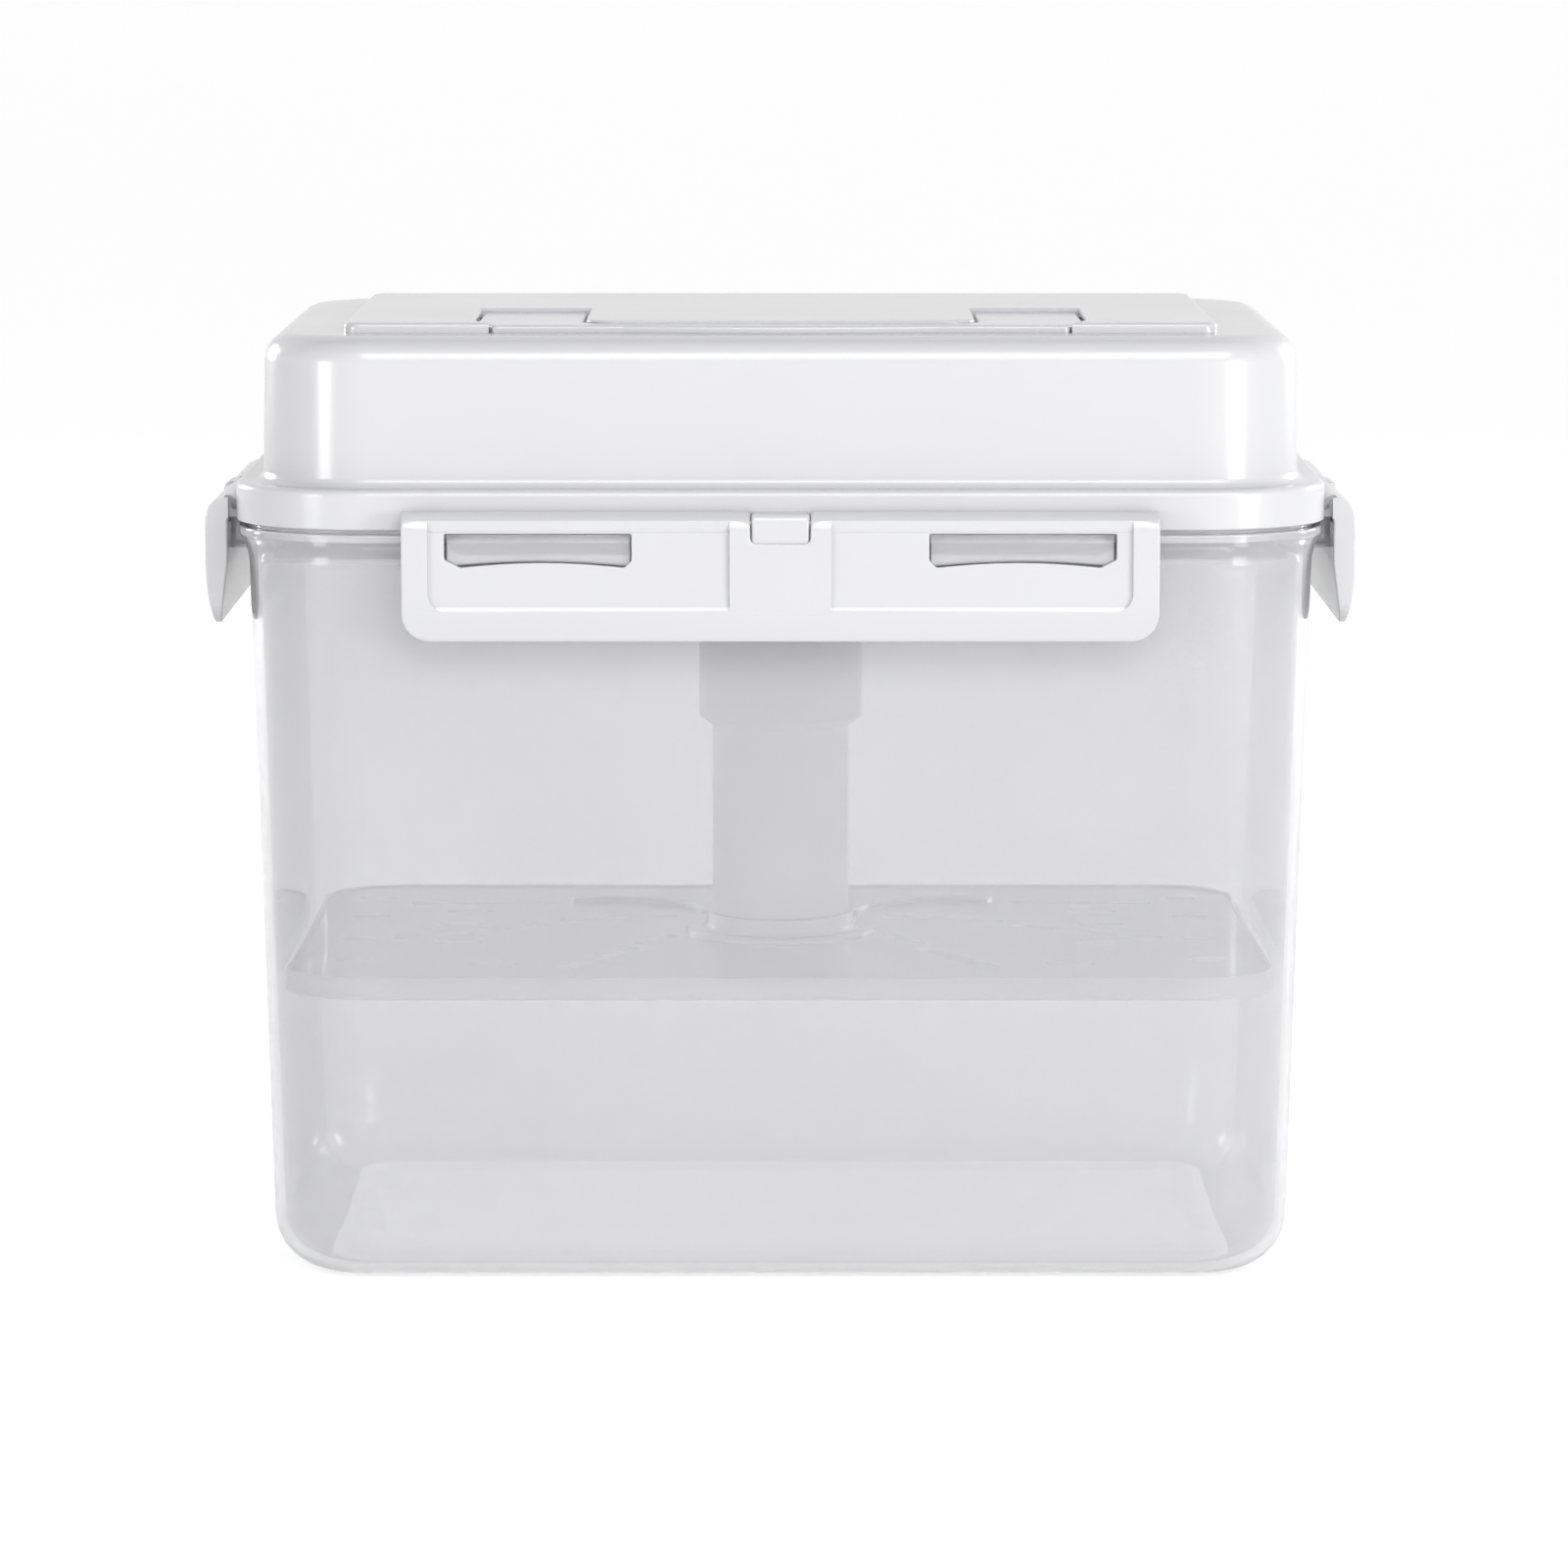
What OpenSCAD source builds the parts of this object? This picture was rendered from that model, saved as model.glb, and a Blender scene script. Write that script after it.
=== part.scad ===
// Kimchi press: a clear drafted tub, a domed snap lid with a folding carry handle and four
// hinged latches, and a sprung telescopic post under the lid that carries a slotted press plate.
// Millimetres. The tub stands on z = 0 with its centre on the origin, and its front faces -Y.

/* [Footprint] */
// Width of the lid's flange, left to right
flange_w = 275.6; // [262:0.2:290]
// Depth of the lid's flange, front to back
flange_d = 190; // [180:0.5:205]
// Corner radius of the flange in plan
corner_r = 35; // [33:0.5:40]

/* [Tub] */
// Height of the ledge under the lid's skirt
rim_z = 191.1; // [184:0.1:202]
// Height of the sealing lip above the ledge
lip_h = 6.2; // [5.8:0.1:6.4]
// Wall thickness of the tub
tub_wall = 2.3; // [2:0.1:2.8]
// Draft of the tub's walls in degrees
tub_draft = 1.7; // [1:0.1:2.2]
// Radius of the edge round the tub's foot
foot_r = 14; // [8:0.5:16]
// Distance of the ledge's edge inside the flange's face
rim_inset = 1.3; // [1:0.1:1.6]
// Distance of the wall's top inside the flange's face
wall_inset = 3.3; // [3:0.1:3.6]

/* [Lid] */
// Height of the flange's face
flange_h = 10; // [9.8:0.1:11]
// Height of the dome above the flange
dome_h = 37.5; // [34:0.1:44]
// Distance of the dome's foot inside the flange's face
dome_inset = 6.9; // [6.6:0.1:7.2]
// Radius of the dome's upper edge
dome_edge_r = 7; // [5:0.5:12]
// Wall thickness of the lid
lid_wall = 2.2; // [2:0.1:2.4]
// Width of the raised panel on the dome
panel_w = 220; // [200:1:224]
// Depth of the raised panel
panel_d = 130.4; // [124:0.2:134]
// Height of the raised panel above the dome
panel_h = 2.5; // [2.2:0.1:3]

/* [Handle] */
// Width of the carry handle
handle_w = 153.6; // [140:0.2:160]
// Width of each handle arm
arm_w = 26.8; // [22:0.2:28]
// Thickness of the handle
handle_t = 6; // [5.5:0.1:6.5]
// Depth of the grip bar, front to back
grip_d = 7.2; // [6:0.2:9]
// Distance of the handle's hinge behind its front face
handle_reach = 55.7; // [50:0.1:58]
// How far the grip's middle bows forward
grip_bow = 3; // [1.5:0.1:3.4]

/* [Latches] */
// Width of the front and rear latches
long_latch_w = 188; // [180:1:194]
// Width of the left and right latches
short_latch_w = 122; // [116:1:126]
// Height of a latch flap
latch_h = 32.2; // [29:0.1:33]
// Thickness of a flap, from its inner face to its outer face
latch_t = 5.75; // [5.5:0.05:6]
// Diameter of a latch's hinge pin
latch_pin_d = 2; // [1.8:0.1:2.2]
// Width of each catch slot in the long latches
long_slot_w = 46.4; // [38:0.2:50]
// Width of each catch slot in the short latches
short_slot_w = 26; // [20:0.5:28]

/* [Press] */
// Outer diameter of the fixed sleeve
sleeve_d = 42.8; // [42:0.1:44]
// Outer diameter of the sliding column
column_d = 35.7; // [35:0.1:36]
// Travel of the press plate
press_travel = 47; // [30:1:48]
// Height of the press plate's upper face
plate_z = 77.4; // [76:0.2:79]
// Width of the press plate
plate_w = 252.6; // [246:0.2:253]
// Depth of the rim that hangs from the plate's edge
plate_rim_h = 5; // [4:0.2:7]
// Thickness of the press plate
plate_t = 2.4; // [2:0.1:3]
// Turns of the press spring
spring_turns = 16; // [10:1:20]
// Wire diameter of the press spring
spring_wire = 1.6; // [1.2:0.1:1.8]

/* [Hidden] */
$fn = 96;

// Clearances: running fits, seated pieces, and pieces that pass each other
run_fit = 0.05;
seat_fit = 0.03;
pass_gap = 0.45;

// Corner centres shared by every outline that follows the flange
corner_x = flange_w / 2 - corner_r;
corner_y = flange_d / 2 - corner_r;

// Tub section, measured out from the corner centre
tub_slope = tan(tub_draft);
wall_top_z = 176.25;
wall_foot_u = corner_r - wall_inset - tub_slope * wall_top_z;
ledge_u = corner_r - rim_inset;
ledge_t = 3;
step_u = ledge_u - 0.5;
step_z = rim_z - 5;
fillet_z = rim_z - 9.8;
lip_u = wall_foot_u + tub_slope * wall_top_z + 0.2;
lip_z = rim_z + lip_h;
floor_t = 2.6;

// Lid section, measured out from the corner centre
skirt_gap = 1.2;
flange_z = rim_z + skirt_gap;
flange_top_z = flange_z + flange_h;
dome_z = flange_top_z + dome_h;
dome_foot_u = corner_r - dome_inset;
dome_slope = tan(1.1);
dome_edge_u = dome_foot_u - dome_slope * dome_h;
flange_edge_r = 1.6;
foot_fillet_r = 2.6;
seal_channel_u = [dome_foot_u - 0.3, corner_r - lid_wall];
seal_channel_z = flange_top_z - lid_wall;
seal_h = 2.3;
panel_y = -3.5;
panel_z = dome_z + panel_h;
panel_corner_r = 4;
panel_edge_r = 1.1;
panel_front_y = panel_y - panel_d / 2;

// Handle and its recess
grip_y = panel_front_y;
hinge_y = grip_y + handle_reach;
handle_sink = 0.6;
handle_top_z = panel_z - handle_sink;
handle_z = handle_top_z - handle_t;
hinge_z = handle_z + handle_t / 2;
recess_gap = 0.7;
recess_z = handle_z - 1.5;
recess_wall = 2.2;
arm_out = handle_w / 2;
arm_in = arm_out - arm_w;
arm_x = (arm_in + arm_out) / 2;
nose_r = 40;
nose_h = 18.5;
grip_fillet_r = 8;
handle_pin_d = 4;
bow_half_w = 40;
bow_r = (bow_half_w * bow_half_w + grip_bow * grip_bow) / (2 * grip_bow);
bow_lip_z = dome_z - 1;

// Latch section: distance out from the flange's face, and height
latch_in = 2.35;
latch_out = latch_in + latch_t;
latch_axis = [3.5, rim_z + 3.3];
barrel_r = 3.1;
latch_top_z = latch_axis[1] + 3;
latch_tip_z = latch_top_z - latch_h;
latch_tip_r = 1.15;
latch_curve_r = 42;
latch_curve_z = latch_tip_z + 15.7;
latch_shoulder_r = 5;
latch_corner_r = 6.8;
latch_border = 6.6;
latch_strip = 5.4;
panel_sink = 0.9;
sunk_z = latch_tip_z + latch_border + 0.7;
sunk_corner_r = 4.7;
slot_z = [rim_z - 7.4, rim_z + 1.2];
slot_inner_cut = 1.8;
slot_outer_cut = [4, 2];
slot_arch = 1.2;
slot_end_gap = 4.1;
ear_w = 6;
ear_end_gap = 6.5;
ear_r = 1.95;
ear_root = 1;
tab_w = 14.4;
tab_r = 6.3;
tab_corner_r = 2;
notch_corner_r = 1.5;
tab_out = latch_out - 0.5;
lug_end_gap = 1.7;
lug_z = [slot_z[0] + slot_arch + 0.4, slot_z[0] + 6.2];
lug_out = 5.5;
lug_chamfer = 1.2;
lug_root = -3.8;

// Press post: the sleeve ends just above the hub's place at full travel
hub_h = 5.7;
column_z = plate_z + hub_h;
travel_end_gap = 2.7;
sleeve_z = column_z + press_travel + travel_end_gap;
sleeve_wall = 2.2;
sleeve_lip_h = 3.5;
sleeve_chamfer = 2.4;
sleeve_bore_r = sleeve_d / 2 - sleeve_wall;
socket_fit = 0.12;
socket_r = sleeve_d / 2 + 2.6;
socket_z = flange_top_z + 21;
socket_roof_z = dome_z - lid_wall;
sleeve_top_z = socket_roof_z - 0.1;
cap_h = 4.6;
cap_z = sleeve_top_z - cap_h;
cap_spigot = [9.6, 6];
column_r = column_d / 2;
column_wall = 2.2;
column_floor_z = column_z + 5.5;
column_top_z = sleeve_z + 21;
ring_z = sleeve_z + sleeve_lip_h + 0.5;
ring_h = 4;
ring_groove = 0.65;
boss = [5, 9];
screw_r = 1.7;
screw_head = [4, 2.4];
screw_length = 14;
spring_r = 12.2;
spring_seat_gap = 0.1;
spring_end_gap = 0.7;
spring_rings = 8;
spring_sides = 6;
spring_z = [column_floor_z + spring_seat_gap, cap_z - spring_seat_gap];

// Press plate
plate_u = plate_w / 2 - corner_x;
hub_r = column_r + 1.6;
hub_roof_t = 2.6;
hub_edge_r = 0.6;
collar_r = 25;
collar_h = 1.6;
collar_edge_r = 1.2;
plate_edge_r = 1.1;
slot_w = 2.8;
rib_centre = [45, 29];
rib_r = 26;
rib_angles = [63, 190];
rib_w = 2.2;
rib_h = 1.4;
// Slots of the right half, each from one point to another
PLATE_SLOTS = [
    [64, 52, 98, 51], [30, 28, 57, 18], [64, 11, 99, -12], [37, -30, 54, -60],
    [29, -8, 36, -19], [80, 36, 88, 36], [81, 13, 89, 13], [80, -19, 88, -19], [70, -56, 78, -56],
    [107, 60, 113, 60], [107, 26, 113, 26], [107, -12, 113, -12], [107, -47, 113, -47]
];

// Sweeps a wall section round a rounded rectangle, which has its corner centres at x and y:
// four corners and four straight sides
module around(x = corner_x, y = corner_y) {
    for (quarter = [[1, 1, 0], [-1, 1, 90], [-1, -1, 180], [1, -1, 270]])
        translate([quarter[0] * x, quarter[1] * y, 0])
            rotate(quarter[2])
                rotate_extrude(angle = 90)
                    children();
    for (turn = [0, 180])
        rotate(turn) {
            translate([-x, y, 0])
                rotate([90, 0, 90])
                    linear_extrude(2 * x)
                        children();
            translate([x, y, 0])
                rotate([90, 0, 0])
                    linear_extrude(2 * y)
                        children();
        }
}

// Flat sheet between the corner centres, which the swept sections join
module middle_sheet(z, t, x = corner_x, y = corner_y) {
    translate([-x, -y, z])
        cube([2 * x, 2 * y, t]);
}

// Filled section of a drafted cup that stands on its closed end, with that end's edge rounded
module cup_section(foot_u, slope, h, edge_r) {
    lean = atan(slope);
    edge_u = foot_u + slope * edge_r - edge_r / cos(lean);
    polygon([
        [0, 0],
        [edge_u, 0],
        [edge_u + edge_r * cos(lean), edge_r * (1 - sin(lean))],
        [foot_u + slope * h, h],
        [0, h]
    ]);
    intersection() {
        translate([edge_u, edge_r])
            circle(edge_r);
        translate([edge_u, 0])
            square(edge_r);
    }
}

// The same section turned over, with its closed end at height z
module cap_section(z, top_u, slope, h, edge_r) {
    translate([0, z])
        mirror([0, 1])
            cup_section(top_u, slope, h, edge_r);
}

// Turns a piece drawn outwards along +Y to one side of the lid
module at_side(turn) {
    rotate(turn)
        translate([0, (turn % 180 == 0 ? flange_d : flange_w) / 2, 0])
            children();
}

// Bar along X with its section drawn as (distance out, height)
module bar(length, x = 0) {
    translate([x - length / 2, 0, 0])
        rotate([90, 0, 90])
            linear_extrude(length)
                children();
}

// Round rod along X at a point of the section
module rod(length, r, point, x = 0) {
    translate([x - length / 2, point[0], point[1]])
        rotate([0, 90, 0])
            cylinder(h = length, r = r);
}

// Tub

module tub_section() {
    difference() {
        union() {
            cup_section(wall_foot_u, tub_slope, rim_z, foot_r);
            translate([0, rim_z - ledge_t])
                square([ledge_u, ledge_t]);
            translate([0, rim_z])
                square([lip_u, lip_h]);
            rim_fillet();
        }
        translate([0, floor_t])
            cup_section(wall_foot_u - tub_wall, tub_slope, lip_z, foot_r - tub_wall);
    }
}

// Step under the ledge, blended by a hollow curve that starts just inside the wall
module rim_fillet() {
    wall_u = wall_foot_u + tub_slope * fillet_z - 0.2;
    rise = step_z - fillet_z;
    reach = step_u - wall_u;
    r = (rise * rise + reach * reach) / (2 * reach);
    translate([0, step_z])
        square([step_u, rim_z - ledge_t - step_z]);
    difference() {
        translate([0, fillet_z])
            square([step_u, rise]);
        translate([wall_u + r, fillet_z])
            circle(r);
    }
}

// Catch lug that a latch's slot snaps under, with cut corners at its ends
module lug(w, x) {
    intersection() {
        bar(w, x)
            polygon([
                [lug_root, lug_z[0]],
                [lug_out - 0.7, lug_z[0]],
                [lug_out, lug_z[0] + 0.7],
                [lug_out, lug_z[1] - 1.8],
                [lug_out - 1.3, lug_z[1] - 0.8],
                [lug_root, lug_z[1]]
            ]);
        translate([x, 0, lug_z[0] - 1])
            linear_extrude(lug_z[1] - lug_z[0] + 2)
                polygon([
                    [-w / 2, lug_root],
                    [w / 2, lug_root],
                    [w / 2, lug_out - lug_chamfer],
                    [w / 2 - lug_chamfer, lug_out],
                    [lug_chamfer - w / 2, lug_out],
                    [-w / 2, lug_out - lug_chamfer]
                ]);
    }
}

module tub() {
    color([0.82, 0.83, 0.84, 0.45]) {
        around()
            tub_section();
        middle_sheet(0, floor_t);
        for (turn = [0, 180, 90, 270])
            at_side(turn)
                for (side = [-1, 1])
                    lug(slot_width(turn) - 2 * lug_end_gap, side * slot_x(turn));
    }
}

// Lid

module lid_section() {
    difference() {
        union() {
            cap_section(flange_top_z, corner_r, 0, flange_h, flange_edge_r);
            cap_section(dome_z, dome_edge_u, dome_slope, dome_h, dome_edge_r);
            difference() {
                translate([0, flange_top_z])
                    square([dome_foot_u + foot_fillet_r, foot_fillet_r]);
                translate([dome_foot_u + foot_fillet_r, flange_top_z + foot_fillet_r])
                    circle(foot_fillet_r);
            }
        }
        cap_section(
            dome_z - lid_wall, dome_edge_u - lid_wall, dome_slope, dome_h + flange_h, dome_edge_r - lid_wall
        );
        translate([seal_channel_u[0], 0])
            square([seal_channel_u[1] - seal_channel_u[0], seal_channel_z]);
    }
}

// Raised panel with a rounded upper edge, hollow underneath
module lid_panel() {
    x = panel_w / 2 - panel_corner_r;
    y = panel_d / 2 - panel_corner_r;
    h = panel_h + lid_wall;
    translate([0, panel_y, 0]) {
        around(x, y)
            cap_section(panel_z, panel_corner_r, 0, h, panel_edge_r);
        middle_sheet(panel_z - h, h, x, y);
    }
}

module lid_panel_hollow() {
    translate([0, panel_y, dome_z - lid_wall - 1])
        linear_extrude(panel_h + 1)
            square([panel_w - 2 * lid_wall, panel_d - 2 * lid_wall], center = true);
}

// Plan of the handle, grown by a margin: a wide U whose front corners are drawn in by an arc
module handle_plan(margin) {
    front = grip_y - margin;
    back = hinge_y + handle_t / 2 + margin;
    fillet_r = grip_fillet_r - margin;
    for (side = [0, 1])
        mirror([side, 0]) {
            intersection() {
                translate([arm_in - margin, front])
                    square([arm_w + 2 * margin, back - front]);
                union() {
                    translate([arm_out - nose_r + 0.05, grip_y + nose_h])
                        circle(nose_r + margin, $fn = 360);
                    translate([0, grip_y + nose_h])
                        square([handle_w, handle_reach]);
                }
            }
            translate([-1, front])
                square([arm_x + 1, grip_d + 2 * margin]);
            difference() {
                translate([arm_in - grip_fillet_r, grip_y + grip_d + margin])
                    square(fillet_r);
                translate([arm_in - grip_fillet_r, grip_y + grip_d + grip_fillet_r])
                    circle(fillet_r);
            }
        }
}

// Trough that the handle lies in, grown by a margin on every side
module handle_space(margin, z0, z1) {
    translate([0, 0, z0])
        linear_extrude(z1 - z0)
            handle_plan(margin);
}

// Walls and floor of the trough, kept below the dome's top outside the raised panel
module handle_trough() {
    intersection() {
        handle_space(recess_gap + recess_wall, recess_z - recess_wall, panel_z - 1);
        union() {
            lid_panel();
            translate([-flange_w / 2, -flange_d / 2, flange_top_z])
                cube([flange_w, flange_d, dome_h - 0.5]);
        }
    }
}

// Bowed part of the grip in plan
module grip_bow_plan(margin) {
    intersection() {
        translate([0, grip_y - grip_bow + bow_r])
            circle(bow_r + margin, $fn = 360);
        translate([-handle_w / 2, grip_y - grip_bow - 2])
            square([handle_w, grip_bow + 4]);
    }
}

// Socket under the dome that holds the sleeve
module sleeve_socket() {
    translate([0, 0, socket_z])
        difference() {
            cylinder(h = panel_z - 1 - socket_z, r = socket_r);
            translate([0, 0, -1])
                cylinder(h = socket_roof_z - socket_z + 1, r = sleeve_d / 2 + socket_fit);
        }
}

// Hinge ears of one side: a wide tab in the latch's notch and a plain ear near each end
module lid_ears(latch_w) {
    intersection() {
        bar(tab_w)
            intersection() {
                union() {
                    translate(latch_axis)
                        circle(tab_r);
                    translate([-1, latch_axis[1] - 2.8])
                        square([latch_axis[0] + 1, 2.8 + barrel_r]);
                }
                translate([-1, 0])
                    square([tab_out + 1, latch_top_z - 0.3]);
            }
        through()
            drop_outline(tab_w, tab_r, tab_corner_r);
    }
    for (side = [-1, 1])
        bar(ear_w, side * ear_x(latch_w)) {
            translate(latch_axis)
                circle(ear_r);
            translate([-1, latch_axis[1] - ear_r])
                square([latch_axis[0] + 1, ear_r - ear_root]);
        }
}

// Outline round the hinge seen from outside: open to the top, with rounded lower corners
module drop_outline(w, drop, r) {
    z = latch_axis[1] - drop;
    translate([-w / 2, z + r])
        square([w, 2 * drop]);
    translate([r - w / 2, z])
        square([w - 2 * r, 2 * drop]);
    for (side = [-1, 1])
        translate([side * (w / 2 - r), z + r])
            circle(r);
}

function ear_x(latch_w) = latch_w / 2 - ear_end_gap;

module lid_shell() {
    color([0.95, 0.95, 0.96])
        difference() {
            union() {
                difference() {
                    union() {
                        around()
                            lid_section();
                        middle_sheet(dome_z - lid_wall, lid_wall);
                        lid_panel();
                    }
                    lid_panel_hollow();
                }
                handle_trough();
                sleeve_socket();
                for (turn = [0, 180, 90, 270])
                    at_side(turn)
                        lid_ears(latch_width(turn));
            }
            handle_space(recess_gap, recess_z, panel_z + 1);
            translate([0, 0, bow_lip_z - recess_gap])
                linear_extrude(panel_h + 4)
                    grip_bow_plan(recess_gap);
            for (side = [-1, 1])
                rod(arm_w + 7, handle_pin_d / 2 + seat_fit, [hinge_y, hinge_z], side * arm_x);
            for (turn = [0, 180, 90, 270])
                at_side(turn)
                    rod(latch_width(turn), latch_pin_d / 2 + seat_fit, latch_axis);
        }
}

module lid_seal() {
    color([0.78, 0.79, 0.8])
        around()
            translate([seal_channel_u[0] + 0.2, seal_channel_z - seal_h - 0.1])
                square([seal_channel_u[1] - seal_channel_u[0] - 0.4, seal_h]);
}

// Handle

// Side view of the handle, with the arms' ends rounded about the hinge
module handle_section() {
    translate([grip_y - 1, handle_z])
        square([handle_reach + 1, handle_t]);
    translate([hinge_y, hinge_z])
        circle(handle_t / 2);
}

module handle() {
    color([0.93, 0.93, 0.94])
        difference() {
            union() {
                intersection() {
                    handle_space(0, handle_z - 1, handle_top_z + 1);
                    bar(handle_w + 2)
                        handle_section();
                }
                translate([0, 0, bow_lip_z])
                    linear_extrude(handle_top_z - bow_lip_z)
                        grip_bow_plan(0);
            }
            for (side = [-1, 1])
                rod(arm_w + 2, handle_pin_d / 2 + run_fit, [hinge_y, hinge_z], side * arm_x);
        }
}

module handle_pins() {
    color([0.78, 0.79, 0.8])
        for (side = [-1, 1])
            rod(arm_w + 5, handle_pin_d / 2, [hinge_y, hinge_z], side * arm_x);
}

// Latches

function is_long(turn) = turn % 180 == 0;
function latch_width(turn) = is_long(turn) ? long_latch_w : short_latch_w;
function slot_width(turn) = is_long(turn) ? long_slot_w : short_slot_w;
function slot_x(turn) = latch_width(turn) / 2 - latch_border - slot_end_gap - slot_width(turn) / 2;

// Flap section: hinge barrel, rounded shoulder, and a face that curves in to the tip
module latch_section() {
    tip = [latch_in + 2.35, latch_tip_z + latch_tip_r];
    shoulder = [latch_out - latch_shoulder_r, latch_top_z - latch_shoulder_r];
    translate(latch_axis)
        circle(barrel_r);
    intersection() {
        union() {
            polygon([
                [latch_in, latch_axis[1]],
                [latch_in, latch_curve_z],
                [tip[0] - latch_tip_r, tip[1]],
                [tip[0] + latch_tip_r, tip[1]],
                [latch_out, latch_curve_z],
                [latch_out + 1, latch_curve_z],
                [latch_out + 1, latch_top_z],
                [latch_axis[0], latch_top_z]
            ]);
            translate(tip)
                circle(latch_tip_r);
        }
        union() {
            latch_face(0, shoulder[1]);
            translate([-5, shoulder[1]])
                square([shoulder[0] + 5, latch_shoulder_r]);
            translate(shoulder)
                circle(latch_shoulder_r);
            translate(tip)
                circle(latch_tip_r);
        }
    }
}

// All that lies behind the flap's face up to a height, with the face set back by a depth
module latch_face(depth, z) {
    translate([latch_out - depth - latch_curve_r, latch_curve_z])
        circle(latch_curve_r, $fn = 360);
    translate([-5, latch_curve_z])
        square([latch_out - depth + 5, z - latch_curve_z]);
}

// Outline of a flap seen from outside: square on top, rounded at the tip's corners
module latch_outline(w) {
    translate([-w / 2, latch_tip_z + latch_corner_r])
        square([w, latch_h]);
    translate([-w / 2 + latch_corner_r, latch_tip_z - 1])
        square([w - 2 * latch_corner_r, latch_corner_r + 2]);
    for (side = [-1, 1])
        translate([side * (w / 2 - latch_corner_r), latch_tip_z + latch_corner_r])
            circle(latch_corner_r);
}

// Prism that runs out from the lid through a flap, drawn as seen from outside
module through() {
    translate([0, 20, 0])
        rotate([90, 0, 0])
            linear_extrude(25)
                children();
}

// Sunk panel of a flap's right half: its floor runs out on the shoulder, and its lower edge is a slope
module sunk_panel(x0, x1) {
    r = sunk_corner_r;
    w = x1 - x0;
    floor_u = latch_out - 1.49;
    intersection() {
        through() {
            translate([x0, sunk_z])
                square([w - r, latch_h]);
            translate([x0, sunk_z + r])
                square([w, latch_h]);
            translate([x1 - r, sunk_z + r])
                circle(r);
        }
        bar(w + 2, (x0 + x1) / 2)
            difference() {
                polygon([
                    [floor_u - 1.13, sunk_z + 3.4],
                    [floor_u + 2.27, sunk_z - 2.6],
                    [latch_out + 2, sunk_z - 2.6],
                    [latch_out + 2, latch_top_z + 1],
                    [floor_u - 1.13, latch_top_z + 1]
                ]);
                latch_face(panel_sink, latch_top_z + 2);
            }
    }
}

// Slot of the right half: cut lower corners, and a lip that arches up between them
module catch_slot(x0, x1) {
    half = (x1 - x0 - slot_inner_cut - slot_outer_cut[0]) / 2;
    arch_r = (half * half + slot_arch * slot_arch) / (2 * slot_arch);
    difference() {
        polygon([
            [x0, slot_z[0] + slot_inner_cut],
            [x0 + slot_inner_cut, slot_z[0]],
            [x1 - slot_outer_cut[0], slot_z[0]],
            [x1, slot_z[0] + slot_outer_cut[1]],
            [x1, slot_z[1]],
            [x0, slot_z[1]]
        ]);
        translate([x0 + slot_inner_cut + half, slot_z[0] + slot_arch - arch_r - 0.02])
            circle(arch_r, $fn = 360);
    }
}

module latch(turn) {
    w = latch_width(turn);
    slot_end = slot_x(turn) + slot_width(turn) / 2;
    difference() {
        intersection() {
            bar(w)
                latch_section();
            through()
                latch_outline(w);
        }
        for (side = [0, 1])
            mirror([side, 0, 0]) {
                sunk_panel(tab_w / 2 + latch_strip, w / 2 - latch_border);
                through()
                    catch_slot(slot_end - slot_width(turn), slot_end);
                // room for the plain ear, behind the skin of the shoulder
                bar(ear_w + 2 * pass_gap, ear_x(w)) {
                    translate(latch_axis)
                        circle(ear_r + pass_gap);
                    translate([-1, latch_axis[1] - 3.5])
                        square([latch_axis[0] + 1, 7.5]);
                }
            }
        // notch round the wide tab
        intersection() {
            bar(tab_w + 2 * pass_gap) {
                translate(latch_axis)
                    circle(tab_r + pass_gap);
                translate([-1, latch_axis[1] - tab_r])
                    square([latch_axis[0] + 1, 2 * tab_r]);
            }
            through()
                drop_outline(tab_w + 2 * pass_gap, tab_r + pass_gap, notch_corner_r);
        }
        rod(w + 2, latch_pin_d / 2 + run_fit, latch_axis);
    }
}

module placed_latch(turn) {
    color([0.95, 0.95, 0.96])
        at_side(turn)
            latch(turn);
}

module latch_pin(turn) {
    color([0.75, 0.76, 0.78])
        at_side(turn)
            rod(latch_width(turn) - 6, latch_pin_d / 2, latch_axis);
}

// Press post

module press_sleeve() {
    color([0.92, 0.92, 0.9])
        rotate_extrude()
            polygon([
                [column_r + run_fit, sleeve_z],
                [column_r + 0.5, sleeve_z],
                [sleeve_d / 2, sleeve_z + sleeve_chamfer],
                [sleeve_d / 2, sleeve_top_z],
                [sleeve_bore_r, sleeve_top_z],
                [sleeve_bore_r, sleeve_z + sleeve_lip_h],
                [column_r + run_fit, sleeve_z + sleeve_lip_h]
            ]);
}

// Plug in the sleeve's top, with a spigot that centres the spring
module sleeve_cap() {
    color([0.88, 0.88, 0.87])
        rotate_extrude()
            polygon([
                [0, cap_z - cap_spigot[1]],
                [cap_spigot[0] - 1, cap_z - cap_spigot[1]],
                [cap_spigot[0], cap_z - cap_spigot[1] + 1],
                [cap_spigot[0], cap_z],
                [sleeve_bore_r - seat_fit, cap_z],
                [sleeve_bore_r - seat_fit, cap_z + cap_h],
                [0, cap_z + cap_h]
            ]);
}

// Hollow column with a floor, a screw boss and a groove for its stop ring
module press_column() {
    bore_r = column_r - column_wall;
    color([0.92, 0.92, 0.9])
        rotate_extrude()
            polygon([
                [screw_r + seat_fit, column_z],
                [column_r, column_z],
                [column_r, ring_z],
                [column_r - ring_groove, ring_z],
                [column_r - ring_groove, ring_z + ring_h],
                [column_r, ring_z + ring_h],
                [column_r, column_top_z - 1],
                [column_r - 1, column_top_z],
                [bore_r, column_top_z],
                [bore_r, column_floor_z],
                [boss[0], column_floor_z],
                [boss[0], column_floor_z + boss[1]],
                [screw_r + seat_fit, column_floor_z + boss[1]]
            ]);
}

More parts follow.
